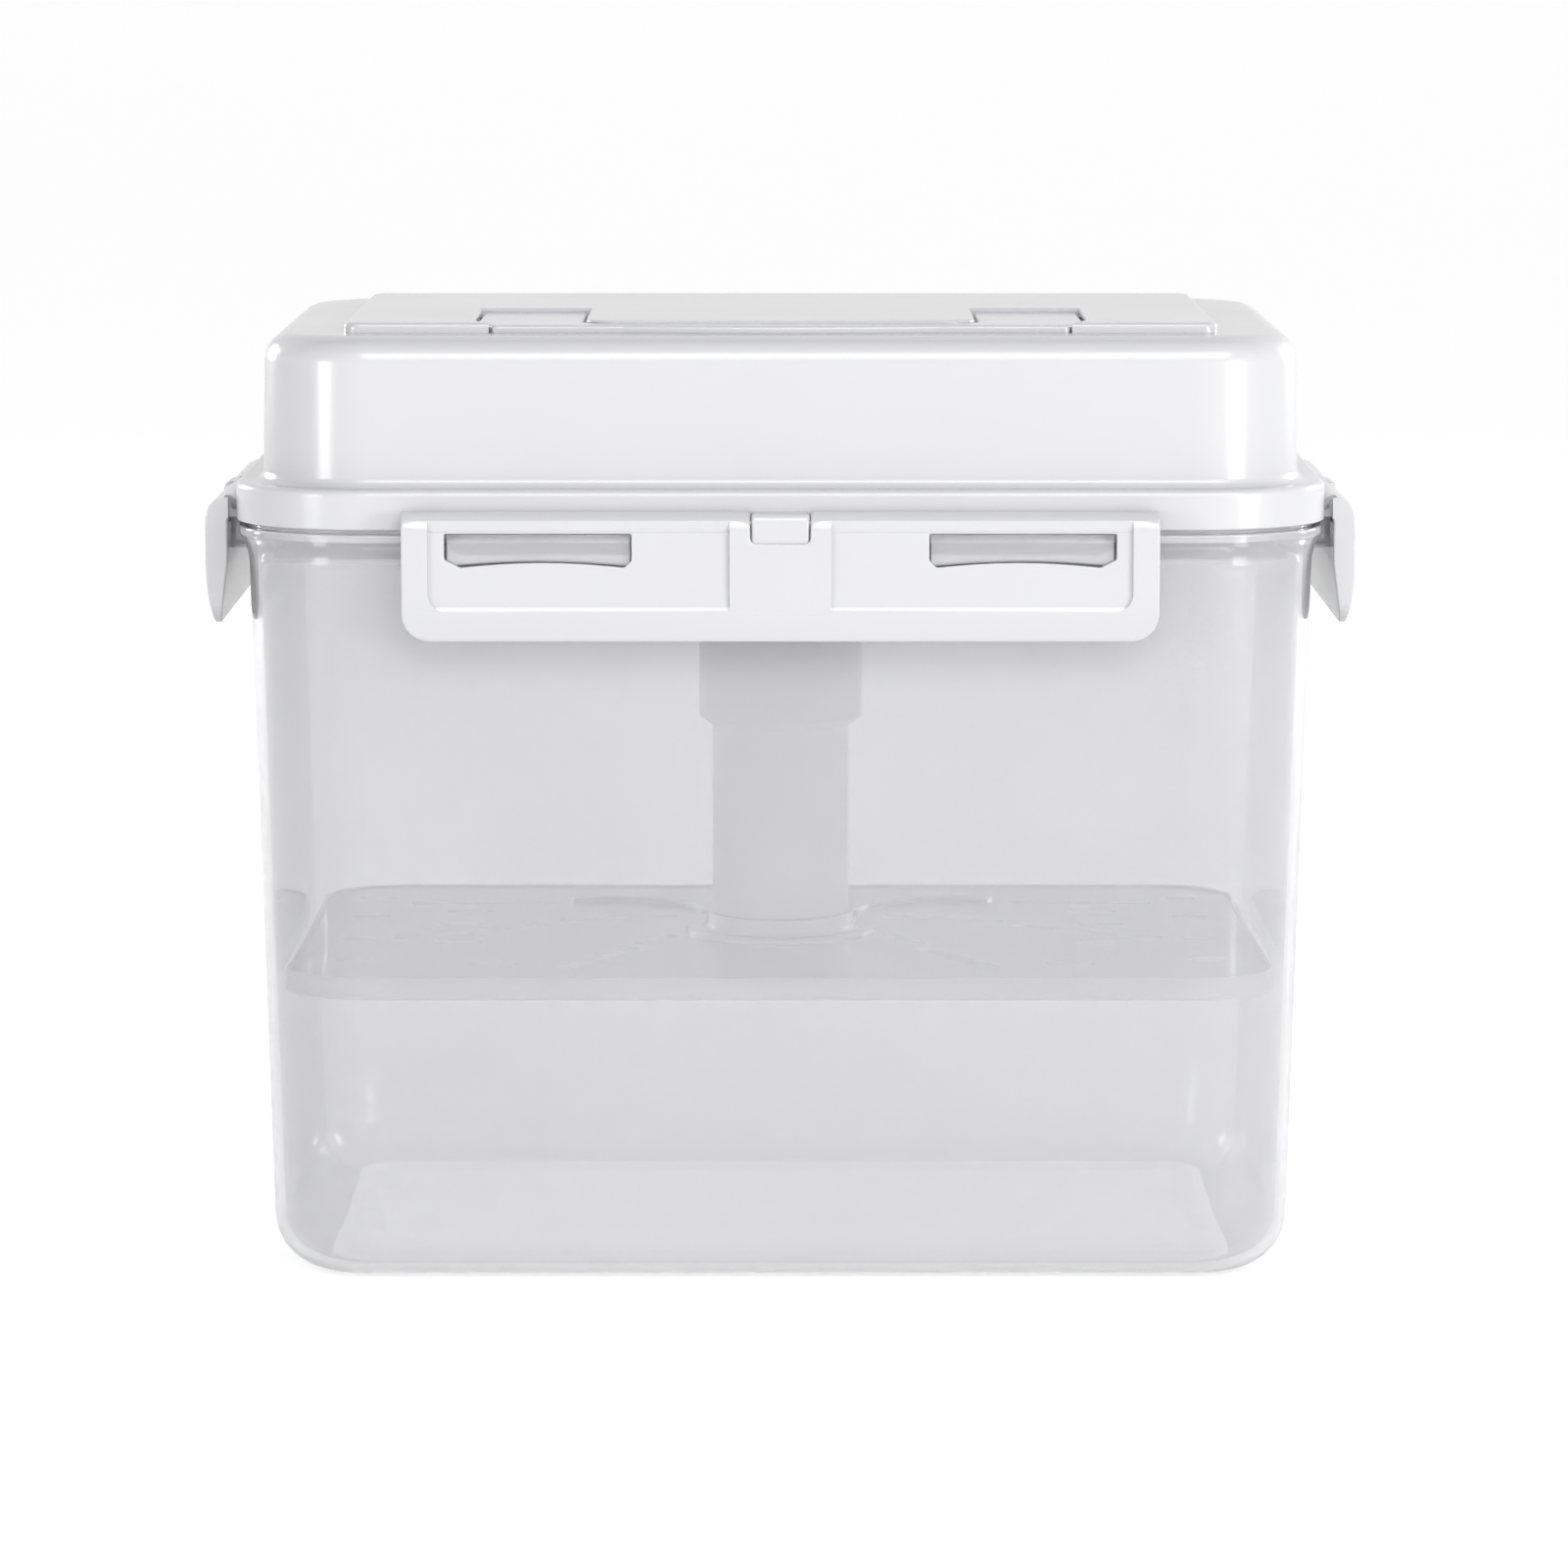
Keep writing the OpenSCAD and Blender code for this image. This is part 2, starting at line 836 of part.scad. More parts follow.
module column_ring() {
    color([0.86, 0.86, 0.85])
        rotate_extrude()
            translate([column_r - ring_groove + seat_fit, ring_z + seat_fit])
                square([sleeve_bore_r - run_fit - column_r + ring_groove - seat_fit, ring_h - 2 * seat_fit]);
}

// Spring: one wire along a helix whose end turns lie close, with straight ends

function spring_height(turn) = let (
    low = spring_z[0] + spring_wire / 2,
    high = spring_z[1] - spring_wire / 2,
    close = spring_wire + spring_end_gap,
    open = (high - low - 2 * close) / (spring_turns - 2)
) turn < 1 ? low + close * turn * turn
    : turn > spring_turns - 1 ? high - close * pow(spring_turns - turn, 2)
    : low + close + open * (turn - 1);
function spring_point(turn) = [
    spring_r * cos(360 * turn), spring_r * sin(360 * turn), spring_height(turn)
];
function unit(v) = v / norm(v);

spring_steps = spring_turns * spring_rings;
helix = [for (i = [0:spring_steps]) spring_point(i / spring_rings)];
spring_path = concat(
    [helix[0] - [0, spring_wire, 0]],
    helix,
    [helix[spring_steps] + [0, spring_wire, 0]]
);
spring_last = len(spring_path) - 1;

// Points of one ring of the wire, square to the path
function spring_ring(i) = let (
    ahead = unit(spring_path[min(i + 1, spring_last)] - spring_path[max(i - 1, 0)]),
    inward = unit(cross(ahead, [0, 0, 1])),
    up = cross(inward, ahead),
    step = 360 / spring_sides
) [for (j = [0:spring_sides - 1])
    spring_path[i] + spring_wire / 2 * (cos(j * step) * inward + sin(j * step) * up)];

function spring_face(i, j) = let (
    a = i * spring_sides + j,
    b = i * spring_sides + (j + 1) % spring_sides
) [[a, b, b + spring_sides], [a, b + spring_sides, a + spring_sides]];

// Least gap between parts of the wire that are more than half a turn apart
spring_gap = min([for (i = [0:spring_last], j = [i + spring_rings / 2 + 1:1:spring_last])
    norm(spring_path[i] - spring_path[j])]) - spring_wire;
echo(str("Least gap between the turns of the spring: ", spring_gap, " mm"));

module press_spring() {
    color([0.72, 0.73, 0.75])
        polyhedron(
            points = [for (i = [0:spring_last]) each spring_ring(i)],
            faces = concat(
                [for (j = [1:spring_sides - 2]) [0, j + 1, j]],
                [for (i = [0:spring_last - 1], j = [0:spring_sides - 1]) each spring_face(i, j)],
                [for (j = [1:spring_sides - 2]) [0, j, j + 1] + spring_last * spring_sides * [1, 1, 1]]
            )
        );
}

// Press plate

module plate_slot(ends) {
    along = [ends[2] - ends[0], ends[3] - ends[1]];
    translate([ends[0], ends[1]])
        rotate(atan2(along[1], along[0])) {
            translate([0, -slot_w / 2])
                square([norm(along), slot_w]);
            for (end = [0, norm(along)])
                translate([end, 0])
                    circle(slot_w / 2);
        }
}

// Plate and its hanging rim, rounded above and below
module plate_section() {
    rim_r = plate_t / 2;
    rim_low_z = plate_z - plate_rim_h + rim_r;
    difference() {
        cap_section(plate_z, plate_u, 0, plate_z - rim_low_z, plate_edge_r);
        translate([-1, rim_low_z - 1])
            square([plate_u - plate_t + 1, plate_z - plate_t - rim_low_z + 1]);
    }
    translate([plate_u - rim_r, rim_low_z])
        circle(rim_r);
}

// Hub on its collar
module hub_section() {
    cap_section(plate_z + hub_h, hub_r, 0, hub_h, hub_edge_r);
    cap_section(plate_z + collar_h, collar_r, 0, collar_h + 0.4, collar_edge_r);
}

// Raised rib that curls out from the hub
module plate_rib() {
    translate([rib_centre[0], rib_centre[1], plate_z - 0.4])
        rotate(rib_angles[0])
            rotate_extrude(angle = rib_angles[1] - rib_angles[0])
                translate([rib_r - rib_w / 2, 0])
                    square([rib_w, rib_h + 0.4]);
}

module press_plate() {
    color([0.9, 0.91, 0.91])
        difference() {
            union() {
                around()
                    plate_section();
                middle_sheet(plate_z - plate_t, plate_t);
                rotate_extrude()
                    hub_section();
                for (side = [0, 1])
                    mirror([side, 0, 0])
                        plate_rib();
            }
            translate([0, 0, plate_z - plate_t - 1])
                cylinder(h = hub_h + plate_t + 1 - hub_roof_t, r = hub_r - plate_t);
            translate([0, 0, plate_z])
                cylinder(h = hub_h + 1, r = screw_r + seat_fit);
            for (side = [0, 1])
                mirror([side, 0, 0])
                    for (ends = PLATE_SLOTS)
                        translate([0, 0, plate_z - plate_t - 1])
                            linear_extrude(plate_t + 2)
                                plate_slot(ends);
        }
}

module plate_screw() {
    color([0.75, 0.76, 0.78])
        translate([0, 0, column_z - hub_roof_t]) {
            translate([0, 0, -screw_head[1]])
                cylinder(h = screw_head[1], r = screw_head[0]);
            cylinder(h = screw_length, r = screw_r);
        }
}

tub();
lid_shell();
lid_seal();
handle();
handle_pins();
placed_latch(180);  // front_latch
placed_latch(0);  // rear_latch
placed_latch(90);  // left_latch
placed_latch(270);  // right_latch
latch_pin(180);  // front_latch_pin
latch_pin(0);  // rear_latch_pin
latch_pin(90);  // left_latch_pin
latch_pin(270);  // right_latch_pin
press_sleeve();
sleeve_cap();
press_spring();
press_column();
column_ring();
press_plate();
plate_screw();
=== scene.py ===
# %% [markdown]
# # A kimchi press
# The object is a clear tub under a white snap lid. A sprung post inside the lid carries a slotted
# plate that holds cabbage under its brine. The solid model gives every size, place and joint, and
# this lesson models the visible mouldings again, with the soft edges and the plastics of the real ones.

# %% Load the solid model
import math

import bmesh
import bpy
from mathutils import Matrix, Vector


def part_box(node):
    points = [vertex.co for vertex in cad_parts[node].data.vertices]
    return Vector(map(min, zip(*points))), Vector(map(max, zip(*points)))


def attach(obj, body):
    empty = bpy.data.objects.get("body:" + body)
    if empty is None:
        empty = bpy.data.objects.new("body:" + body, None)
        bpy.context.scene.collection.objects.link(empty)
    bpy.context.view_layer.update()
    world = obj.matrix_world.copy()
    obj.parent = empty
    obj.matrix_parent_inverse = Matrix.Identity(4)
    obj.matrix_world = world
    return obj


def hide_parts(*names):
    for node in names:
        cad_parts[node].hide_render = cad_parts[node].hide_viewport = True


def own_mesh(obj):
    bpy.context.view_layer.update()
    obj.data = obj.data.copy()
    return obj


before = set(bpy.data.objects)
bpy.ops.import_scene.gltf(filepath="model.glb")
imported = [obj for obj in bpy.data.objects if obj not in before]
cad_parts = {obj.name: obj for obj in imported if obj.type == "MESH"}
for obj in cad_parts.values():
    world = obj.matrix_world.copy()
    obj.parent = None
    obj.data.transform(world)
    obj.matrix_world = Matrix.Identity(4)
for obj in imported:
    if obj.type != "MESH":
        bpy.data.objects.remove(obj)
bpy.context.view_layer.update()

# %% [markdown]
# ## Sizes
# All shells of this object follow one plan: a rounded rectangle. Their corners share four centres, and
# only the distance from those centres changes. So a wall is drawn once, as a section of distance and
# height, and carried round. Sizes are in millimetres, and the places come from the solid model.

# %% The shared plan
MM = 0.001
CORNER_R = 35
SEAL_INSET = 2.4


def solid_box(node):
    """Lowest and highest corner of a node of the solid model, in millimetres."""
    low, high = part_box(node)
    return low / MM, high / MM


seal_high = solid_box("lid_seal")[1]
flange_x = seal_high.x + SEAL_INSET
flange_y = seal_high.y + SEAL_INSET
corner_x = flange_x - CORNER_R
corner_y = flange_y - CORNER_R
print(f"flange {2 * flange_x:.1f} x {2 * flange_y:.1f} mm, corner centres at {corner_x:.1f}, {corner_y:.1f}")

# %% [markdown]
# ## Tools for modelling
# Each helper does what a hand does in edit mode: draw an outline point by point, pull it out, spin it
# round a corner, pick edges by their place and round them. Operators act on all that is selected, so
# every helper starts by leaving everything.

# %% Selecting
MERGE = 0.01 * MM
# Places closer than this, in millimetres, count as the same
NEAR = 0.05


def leave_all():
    """Back to object mode, with nothing selected."""
    if bpy.context.mode != "OBJECT":
        bpy.ops.object.mode_set(mode="OBJECT")
    bpy.ops.object.select_all(action="DESELECT")


def take(piece):
    """Selects one piece alone and makes it the active one."""
    leave_all()
    piece.select_set(True)
    bpy.context.view_layer.objects.active = piece


def open_piece(piece):
    """Opens one piece in edit mode, with nothing in it selected."""
    take(piece)
    bpy.ops.object.mode_set(mode="EDIT")
    bpy.ops.mesh.select_all(action="DESELECT")


def pick_points(piece, test):
    """Selects the points of the open piece whose place, in millimetres, passes a test."""
    bpy.ops.mesh.select_mode(type="VERT")
    mesh = bmesh.from_edit_mesh(piece.data)
    for point in mesh.verts:
        point.select = test(point.co / MM)
    mesh.select_flush_mode()
    bmesh.update_edit_mesh(piece.data)


# %% Outlines with rounded corners
def rounded(corners, steps=6):
    """Points of an outline given by corners (across, up, radius), each rounded by an arc."""
    points = []
    for i, (across, up, radius) in enumerate(corners):
        here = Vector((across, up))
        if radius == 0:
            points.append(here)
            continue
        before = (Vector(corners[i - 1][:2]) - here).normalized()
        after = (Vector(corners[(i + 1) % len(corners)][:2]) - here).normalized()
        half = before.angle(after) / 2
        centre = here + (before + after).normalized() * radius / math.sin(half)
        start = (here + before * radius / math.tan(half) - centre).normalized()
        end = (here + after * radius / math.tan(half) - centre).normalized()
        points += [centre + radius * start.slerp(end, step / steps) for step in range(steps + 1)]
    return points


def draw_outline(name, points):
    """Draws a line as by hand: one point, extruded to each next place. Edit mode stays open."""
    leave_all()
    bpy.ops.mesh.primitive_plane_add(size=MM)
    piece = bpy.context.object
    piece.name = name
    bpy.ops.object.mode_set(mode="EDIT")
    bpy.ops.mesh.select_mode(type="VERT")
    bpy.ops.mesh.select_all(action="SELECT")
    bpy.ops.mesh.merge(type="CENTER")
    bpy.ops.transform.translate(value=points[0] * MM)
    for here, there in zip(points, points[1:]):
        bpy.ops.mesh.extrude_vertices_move(TRANSFORM_OT_translate={"value": (there - here) * MM})
    bpy.ops.mesh.select_all(action="SELECT")
    return piece


def join_up():
    """Merges doubled points in the open piece and turns its faces outwards."""
    bpy.ops.mesh.select_all(action="SELECT")
    bpy.ops.mesh.remove_doubles(threshold=MERGE)
    bpy.ops.mesh.normals_make_consistent(inside=False)


# %% Solids from outlines
CORNER_STEPS = 14
ROUND_STEPS = 72


def prism(name, outline, along):
    """A solid with this closed outline, pulled out along one direction."""
    piece = draw_outline(name, outline + outline[:1])
    bpy.ops.mesh.remove_doubles(threshold=MERGE)
    bpy.ops.mesh.edge_face_add()
    bpy.ops.mesh.extrude_region_move(TRANSFORM_OT_translate={"value": Vector(along) * MM})
    join_up()
    leave_all()
    return piece


def plan_prism(name, corners, low, high):
    """A prism drawn in plan, between two heights."""
    return prism(name, [Vector((p.x, p.y, low)) for p in rounded(corners)], (0, 0, high - low))


def face_prism(name, corners, near, far):
    """A prism drawn as one looks at a side of the object, between two distances out from the flange."""
    return prism(name, [Vector((p.x, near, p.y)) for p in rounded(corners)], (0, far - near, 0))


def bar(name, corners, start, end):
    """A prism along a side of the object, with its section drawn as (distance out, height)."""
    return prism(name, [Vector((start, p.x, p.y)) for p in rounded(corners)], (end - start, 0, 0))


def at_corner_centre(at):
    """True at one of the plan's four corner centres."""
    return abs(abs(at.x) - corner_x) < NEAR and abs(abs(at.y) - corner_y) < NEAR


def sweep_round(name, section, closed_at):
    """Carries a section round the shared plan: a straight run and a quarter turn, four times."""
    piece = draw_outline(name, [Vector((corner_x + p.x, -corner_y, p.y)) for p in rounded(section)])
    path = [
        ((0, 2 * corner_y, 0), (corner_x, corner_y, 0)),
        ((-2 * corner_x, 0, 0), (-corner_x, corner_y, 0)),
        ((0, -2 * corner_y, 0), (-corner_x, -corner_y, 0)),
        ((2 * corner_x, 0, 0), (corner_x, -corner_y, 0)),
    ]
    for run, centre in path:
        bpy.ops.mesh.extrude_region_move(TRANSFORM_OT_translate={"value": Vector(run) * MM})
        bpy.ops.mesh.spin(
            steps=CORNER_STEPS, angle=math.radians(-90), center=Vector(centre) * MM, axis=(0, 0, 1)
        )
    join_up()
    for height in closed_at:
        bpy.ops.mesh.select_all(action="DESELECT")
        pick_points(piece, lambda at: at_corner_centre(at) and abs(at.z - height) < NEAR)
        bpy.ops.mesh.edge_face_add()
    join_up()
    leave_all()
    return piece


def turned(name, section):
    """A solid spun round the post's axis, from a section that starts on the axis or closes round a bore."""
    outline = [Vector((p.x, 0, p.y)) for p in rounded(section)]
    piece = draw_outline(name, outline if outline[0].x == 0 else outline + outline[:1])
    bpy.ops.mesh.spin(steps=ROUND_STEPS, angle=math.radians(360), center=(0, 0, 0), axis=(0, 0, 1))
    join_up()
    leave_all()
    return piece


# %% Cutting, rounding and smoothing
SHARP = math.radians(40)
SMOOTH = math.radians(35)


def combine(piece, tool, operation):
    """Cuts a tool from a piece, or joins it on, and throws the tool away."""
    take(piece)
    modifier = piece.modifiers.new(operation.lower(), "BOOLEAN")
    modifier.operation = operation
    modifier.solver = "EXACT"
    modifier.object = tool
    bpy.ops.object.modifier_apply(modifier=modifier.name)
    bpy.data.objects.remove(tool)


def soften(piece, width, segments=3, test=None):
    """Rounds the piece's sharp edges, or only those whose middle passes a test."""
    open_piece(piece)
    bpy.ops.mesh.select_mode(type="EDGE")
    bpy.ops.mesh.edges_select_sharp(sharpness=SHARP)
    if test:
        mesh = bmesh.from_edit_mesh(piece.data)
        for edge in mesh.edges:
            middle = (edge.verts[0].co + edge.verts[1].co) / 2
            edge.select = edge.select and test(middle / MM)
        mesh.select_flush_mode()
        bmesh.update_edit_mesh(piece.data)
    bpy.ops.mesh.bevel(offset=width * MM, segments=segments, profile=0.5, affect="EDGES")
    leave_all()


def smooth(piece):
    """Smooth shading that keeps the creases, with normals led by the large faces."""
    take(piece)
    bpy.ops.object.shade_smooth_by_angle(angle=SMOOTH)
    modifier = piece.modifiers.new("even normals", "WEIGHTED_NORMAL")
    modifier.keep_sharp = True
    bpy.ops.object.modifier_apply(modifier=modifier.name)


def dress(piece, body, node, material):
    """Smooths a finished piece, gives it its material and its body, and hides the solid that it stands for.
    """
    smooth(piece)
    piece.data.materials.clear()
    piece.data.materials.append(material)
    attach(piece, body)
    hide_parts(node)
    print(f"{piece.name}: {len(piece.data.polygons)} faces on {body}")


# %% [markdown]
# ## Materials
# Injection-moulded plastic is never one flat colour. The skin copies a polished mould that has a faint
# orange peel, the gloss drifts where the melt cooled unevenly, and pigment is not quite even. Each
# material is a Principled shader with those small changes, at sizes in millimetres on Object coordinates.
# The peel is drawn coarser than the real one, so that it shows from this far. The white pigment is darker
# than it is by daylight, because the studio's front light is strong.

# %% Colour and node helpers
CLOUD_MM = 45


def hex_colour(code):
    """Linear colour from an sRGB hex value."""
    channels = [int(code[i:i + 2], 16) / 255 for i in (1, 3, 5)]
    return [c / 12.92 if c <= 0.04045 else ((c + 0.055) / 1.055) ** 2.4 for c in channels] + [1]


def add_node(material, kind, inputs, **settings):
    """Adds one node with its settings, and sets or links its inputs."""
    node = material.node_tree.nodes.new(kind)
    for name, value in settings.items():
        setattr(node, name, value)
    for name, value in inputs.items():
        if isinstance(value, bpy.types.NodeSocket):
            material.node_tree.links.new(value, node.inputs[name])
        else:
            node.inputs[name].default_value = value
    return node


def uneven_finish(name, light, dark, gloss, peel_mm, peel_depth_mm, **shader):
    """A finish that is never quite even: two close tones, drifting gloss and a faint relief."""
    material = bpy.data.materials.new(name)
    material.use_nodes = True
    links = material.node_tree.links
    surface = material.node_tree.nodes["Principled BSDF"]
    place = add_node(material, "ShaderNodeTexCoord", {}).outputs["Object"]
    cloud = add_node(material, "ShaderNodeTexNoise", {"Vector": place, "Scale": 1000 / CLOUD_MM, "Detail": 3})
    tone = add_node(
        material, "ShaderNodeMix",
        {"Factor": cloud.outputs["Fac"], "A": hex_colour(light), "B": hex_colour(dark)}, data_type="RGBA",
    )
    links.new(tone.outputs["Result"], surface.inputs["Base Color"])
    drift = add_node(
        material, "ShaderNodeMapRange",
        {"Value": cloud.outputs["Fac"], "To Min": gloss[0], "To Max": gloss[1]},
    )
    links.new(drift.outputs["Result"], surface.inputs["Roughness"])
    peel = add_node(material, "ShaderNodeTexNoise", {"Vector": place, "Scale": 1000 / peel_mm, "Detail": 2})
    bump = add_node(
        material, "ShaderNodeBump",
        {"Height": peel.outputs["Fac"], "Strength": 1, "Distance": peel_depth_mm * MM},
    )
    links.new(bump.outputs["Normal"], surface.inputs["Normal"])
    for socket, value in shader.items():
        surface.inputs[socket.replace("_", " ")].default_value = value
    return material


# %% The materials of this object
# Polypropylene, pigmented white, from a polished mould: clean highlights with a slight ripple
white_polypropylene = uneven_finish(
    "white polypropylene", "#B6B6B8", "#B2B2B5", (0.17, 0.23), peel_mm=6, peel_depth_mm=0.004, IOR=1.49
)
# Clear polypropylene of food tubs: see-through and glossy, with a faint haze that greys what is inside
hazy_polypropylene = uneven_finish(
    "hazy clear polypropylene", "#E4E4E6", "#E0E0E3", (0.02, 0.05), peel_mm=40, peel_depth_mm=0.02,
    IOR=1.49
)
# Acetal, a slippery white plastic for the sliding post: a satin skin that spreads the light
satin_acetal = uneven_finish(
    "satin acetal", "#FCFCF9", "#F9F9F5", (0.4, 0.5), peel_mm=3, peel_depth_mm=0.006, IOR=1.48
)
# Natural polypropylene without pigment: milky, and glossy enough to show its ribs and slots
milky_polypropylene = uneven_finish(
    "milky polypropylene", "#FCFCFD", "#F9F9FA", (0.05, 0.09), peel_mm=8, peel_depth_mm=0.01, IOR=1.49,
    Transmission_Weight=0.06
)
# Silicone rubber of the lid's seal: dull, and a little darker than the plastics
seal_silicone = uneven_finish(
    "seal silicone", "#DADBDC", "#D2D3D5", (0.5, 0.6), peel_mm=2, peel_depth_mm=0.01, IOR=1.41
)
# Stainless wire and pins, drawn through a die: grey metal with a fine, uneven shine
drawn_steel = uneven_finish(
    "drawn stainless steel", "#BDBEC0", "#ACADB0", (0.25, 0.35), peel_mm=0.8, peel_depth_mm=0.004, Metallic=1
)
print("materials:", ", ".join(material.name for material in (
    white_polypropylene, hazy_polypropylene, satin_acetal, milky_polypropylene, seal_silicone, drawn_steel
)))

# %% [markdown]
# ## The tub
# The tub is one thin wall of even thickness: a flat floor, a wide round edge at the foot, drafted
# walls, and a rim with a ledge for the lid and a lip for the seal. A box with bevels could not keep the
# draft, so the wall is drawn as a section and swept round the plan. Each point of a section is a distance
# out, a height and the radius that rounds it there.

# %% Tub wall
TUB_WALL = 2.3
FLOOR = 2.6
FOOT_R = 14
DRAFT = math.tan(math.radians(1.7))
WALL_INSET = 3.3
WALL_TOP = 176.25
LIP = 6.2
LIP_OUT = 0.2
RIM_INSET = 0.4
RIM_EDGE = 0.6
LEDGE_H = 2
HOLLOW_H = 5.6
HOLLOW_R = 13

tub_top = solid_box("tub")[1].z
rim_z = tub_top - LIP
wall_foot = CORNER_R - WALL_INSET - DRAFT * WALL_TOP
ledge = CORNER_R - RIM_INSET
inner_foot = wall_foot - TUB_WALL


def wall_at(height):
    """Distance of the tub's outer wall from the corner centre."""
    return wall_foot + DRAFT * height


lip = wall_at(WALL_TOP) + LIP_OUT
hollow_z = rim_z - HOLLOW_H
tub = sweep_round("tub_moulding", [
    (0, 0, 0),
    (wall_foot, 0, FOOT_R),
    (wall_at(hollow_z), hollow_z, HOLLOW_R),
    (ledge, rim_z - LEDGE_H, RIM_EDGE),
    (ledge, rim_z, RIM_EDGE),
    (lip, rim_z, RIM_EDGE / 2),
    (lip, tub_top, RIM_EDGE),
    (inner_foot + DRAFT * (tub_top - FLOOR), tub_top, RIM_EDGE),
    (inner_foot, FLOOR, FOOT_R - TUB_WALL),
    (0, FLOOR, 0),
], closed_at=(0, FLOOR))
print(f"tub {tub_top:.1f} mm high, with its rim's ledge at {rim_z:.1f} mm")

# %% [markdown]
# ## Catch lugs
# Each latch snaps over two lugs under the tub's rim. A lug is a low block with an arched underside, which
# follows the lip of the latch's slot, and a ramp on its top front edge that the lip slides over. It is
# drawn as one sees it from the side of the object, pulled out, rounded and joined to the wall.

# %% Catch lugs on the tub's four sides
LONG_LATCH = (188, 46.4)
SHORT_LATCH = (122, 26)
SIDES = {
    "front": (180, flange_y, LONG_LATCH), "rear": (0, flange_y, LONG_LATCH),
    "left": (90, flange_x, SHORT_LATCH), "right": (270, flange_x, SHORT_LATCH),
}
BORDER = 6.6
SLOT_END = 4.1
LUG_GAPS = (0.4, 0.6)
LUG_ROOT = -3.8
LUG_OUT = 5.5
LUG = (rim_z - 7.25, rim_z + 0.6)
LUG_RAMP = 1.9
LUG_EDGE = 0.3
ARCH = 2


def put_on_side(piece, turn, distance):
    """Moves a piece modelled at the flange's face out to one side of the lid."""
    take(piece)
    piece.rotation_euler = (0, 0, math.radians(turn))
    piece.location = Vector((-math.sin(math.radians(turn)), math.cos(math.radians(turn)), 0)) * distance * MM
    bpy.ops.object.transform_apply(location=True, rotation=True, scale=True)


def slot_span(latch):
    """Start and end of a latch's slot, measured out from the latch's middle."""
    width, slot_width = latch
    end = width / 2 - BORDER - SLOT_END
    return end - slot_width, end


def arch(first, last, base):
    """The peak of a low arch between two ends, as one corner with a wide radius."""
    half = abs(last - first) / 2
    return (first + last) / 2, base + ARCH, 0.8 * half ** 2 / ARCH


for turn, distance, latch in SIDES.values():
    start, end = slot_span(latch)
    for side in (-1, 1):
        first = side * (start + LUG_GAPS[0])
        last = side * (end - LUG_GAPS[1])
        lug = face_prism("lug", [
            (first, LUG[0], 0), arch(first, last, LUG[0]), (last, LUG[0], 0),
            (last, LUG[1], 0), (first, LUG[1], 0),
        ], LUG_ROOT, LUG_OUT)
        soften(lug, LUG_RAMP, segments=1, test=lambda at: at.y > LUG_OUT - NEAR and at.z > LUG[1] - NEAR)
        soften(lug, LUG_EDGE, test=lambda at: at.y > LUG_ROOT + NEAR and at.z < LUG[1] - LUG_RAMP - NEAR)
        put_on_side(lug, turn, distance)
        combine(tub, lug, "UNION")
dress(tub, "tub", "tub", hazy_polypropylene)

# %% [markdown]
# ## Haze of the rim
# Clear plastic looks milkier where it is thick, because light scatters on a longer way. The rim and its
# lugs are thicker than the wall. A second material would leave a hard line, so the height above the foot
# drives how much light passes, with a short fade under the rim.

# %% Haze of the thick rim
CLEAR_WALL = 0.78
CLEAR_RIM = 0.7
FADE = (rim_z - 11, rim_z - 7)

place = add_node(hazy_polypropylene, "ShaderNodeTexCoord", {}).outputs["Object"]
height = add_node(hazy_polypropylene, "ShaderNodeSeparateXYZ", {"Vector": place}).outputs["Z"]
clearness = add_node(hazy_polypropylene, "ShaderNodeMapRange", {
    "Value": height, "From Min": FADE[0] * MM, "From Max": FADE[1] * MM,
    "To Min": CLEAR_WALL, "To Max": CLEAR_RIM,
})
tub_surface = hazy_polypropylene.node_tree.nodes["Principled BSDF"]
hazy_polypropylene.node_tree.links.new(clearness.outputs["Result"], tub_surface.inputs["Transmission Weight"])
print(f"haze grows from {FADE[0]:.1f} to {FADE[1]:.1f} mm above the foot")

# %% [markdown]
# ## The lid
# The lid is a second swept wall: a flange that hides the tub's rim, a channel for the seal, and a dome
# with a round edge. It could be a box with bevels and a hollow, but then the wall would not be even, so
# its section is drawn and carried round like the tub's.

# %% Lid wall
LID_WALL = 2.2
PANEL_H = 2.5
DOME_H = 37.5
FLANGE_H = 10
DOME_INSET = 6.9
DOME_EDGE_R = 7
DOME_DRAFT = math.tan(math.radians(1.1))
FLANGE_FILLET = 2.6
FLANGE_EDGES = (1.6, 0.5)
LID_EDGE = 0.4
CHANNEL_IN = 0.3

panel_z = solid_box("lid_shell")[1].z
dome_z = panel_z - PANEL_H
flange_top = dome_z - DOME_H
flange_z = flange_top - FLANGE_H
dome_foot = CORNER_R - DOME_INSET
dome_top = dome_foot - DOME_DRAFT * DOME_H
channel = (dome_foot - CHANNEL_IN, CORNER_R - LID_WALL)

lid = sweep_round("lid_moulding", [
    (0, dome_z, 0),
    (dome_top, dome_z, DOME_EDGE_R),
    (dome_foot, flange_top, FLANGE_FILLET),
    (CORNER_R, flange_top, FLANGE_EDGES[0]),
    (CORNER_R, flange_z, FLANGE_EDGES[1]),
    (channel[1], flange_z, LID_EDGE),
    (channel[1], flange_top - LID_WALL, LID_EDGE),
    (channel[0], flange_top - LID_WALL, LID_EDGE),
    (channel[0], flange_z, LID_EDGE),
    (dome_foot - LID_WALL + DOME_DRAFT * FLANGE_H, flange_z, LID_EDGE),
    (dome_top - LID_WALL, dome_z - LID_WALL, DOME_EDGE_R - LID_WALL),
    (0, dome_z - LID_WALL, 0),
], closed_at=(dome_z, dome_z - LID_WALL))
print(f"flange from {flange_z:.1f} to {flange_top:.1f} mm, dome up to {dome_z:.1f} mm")

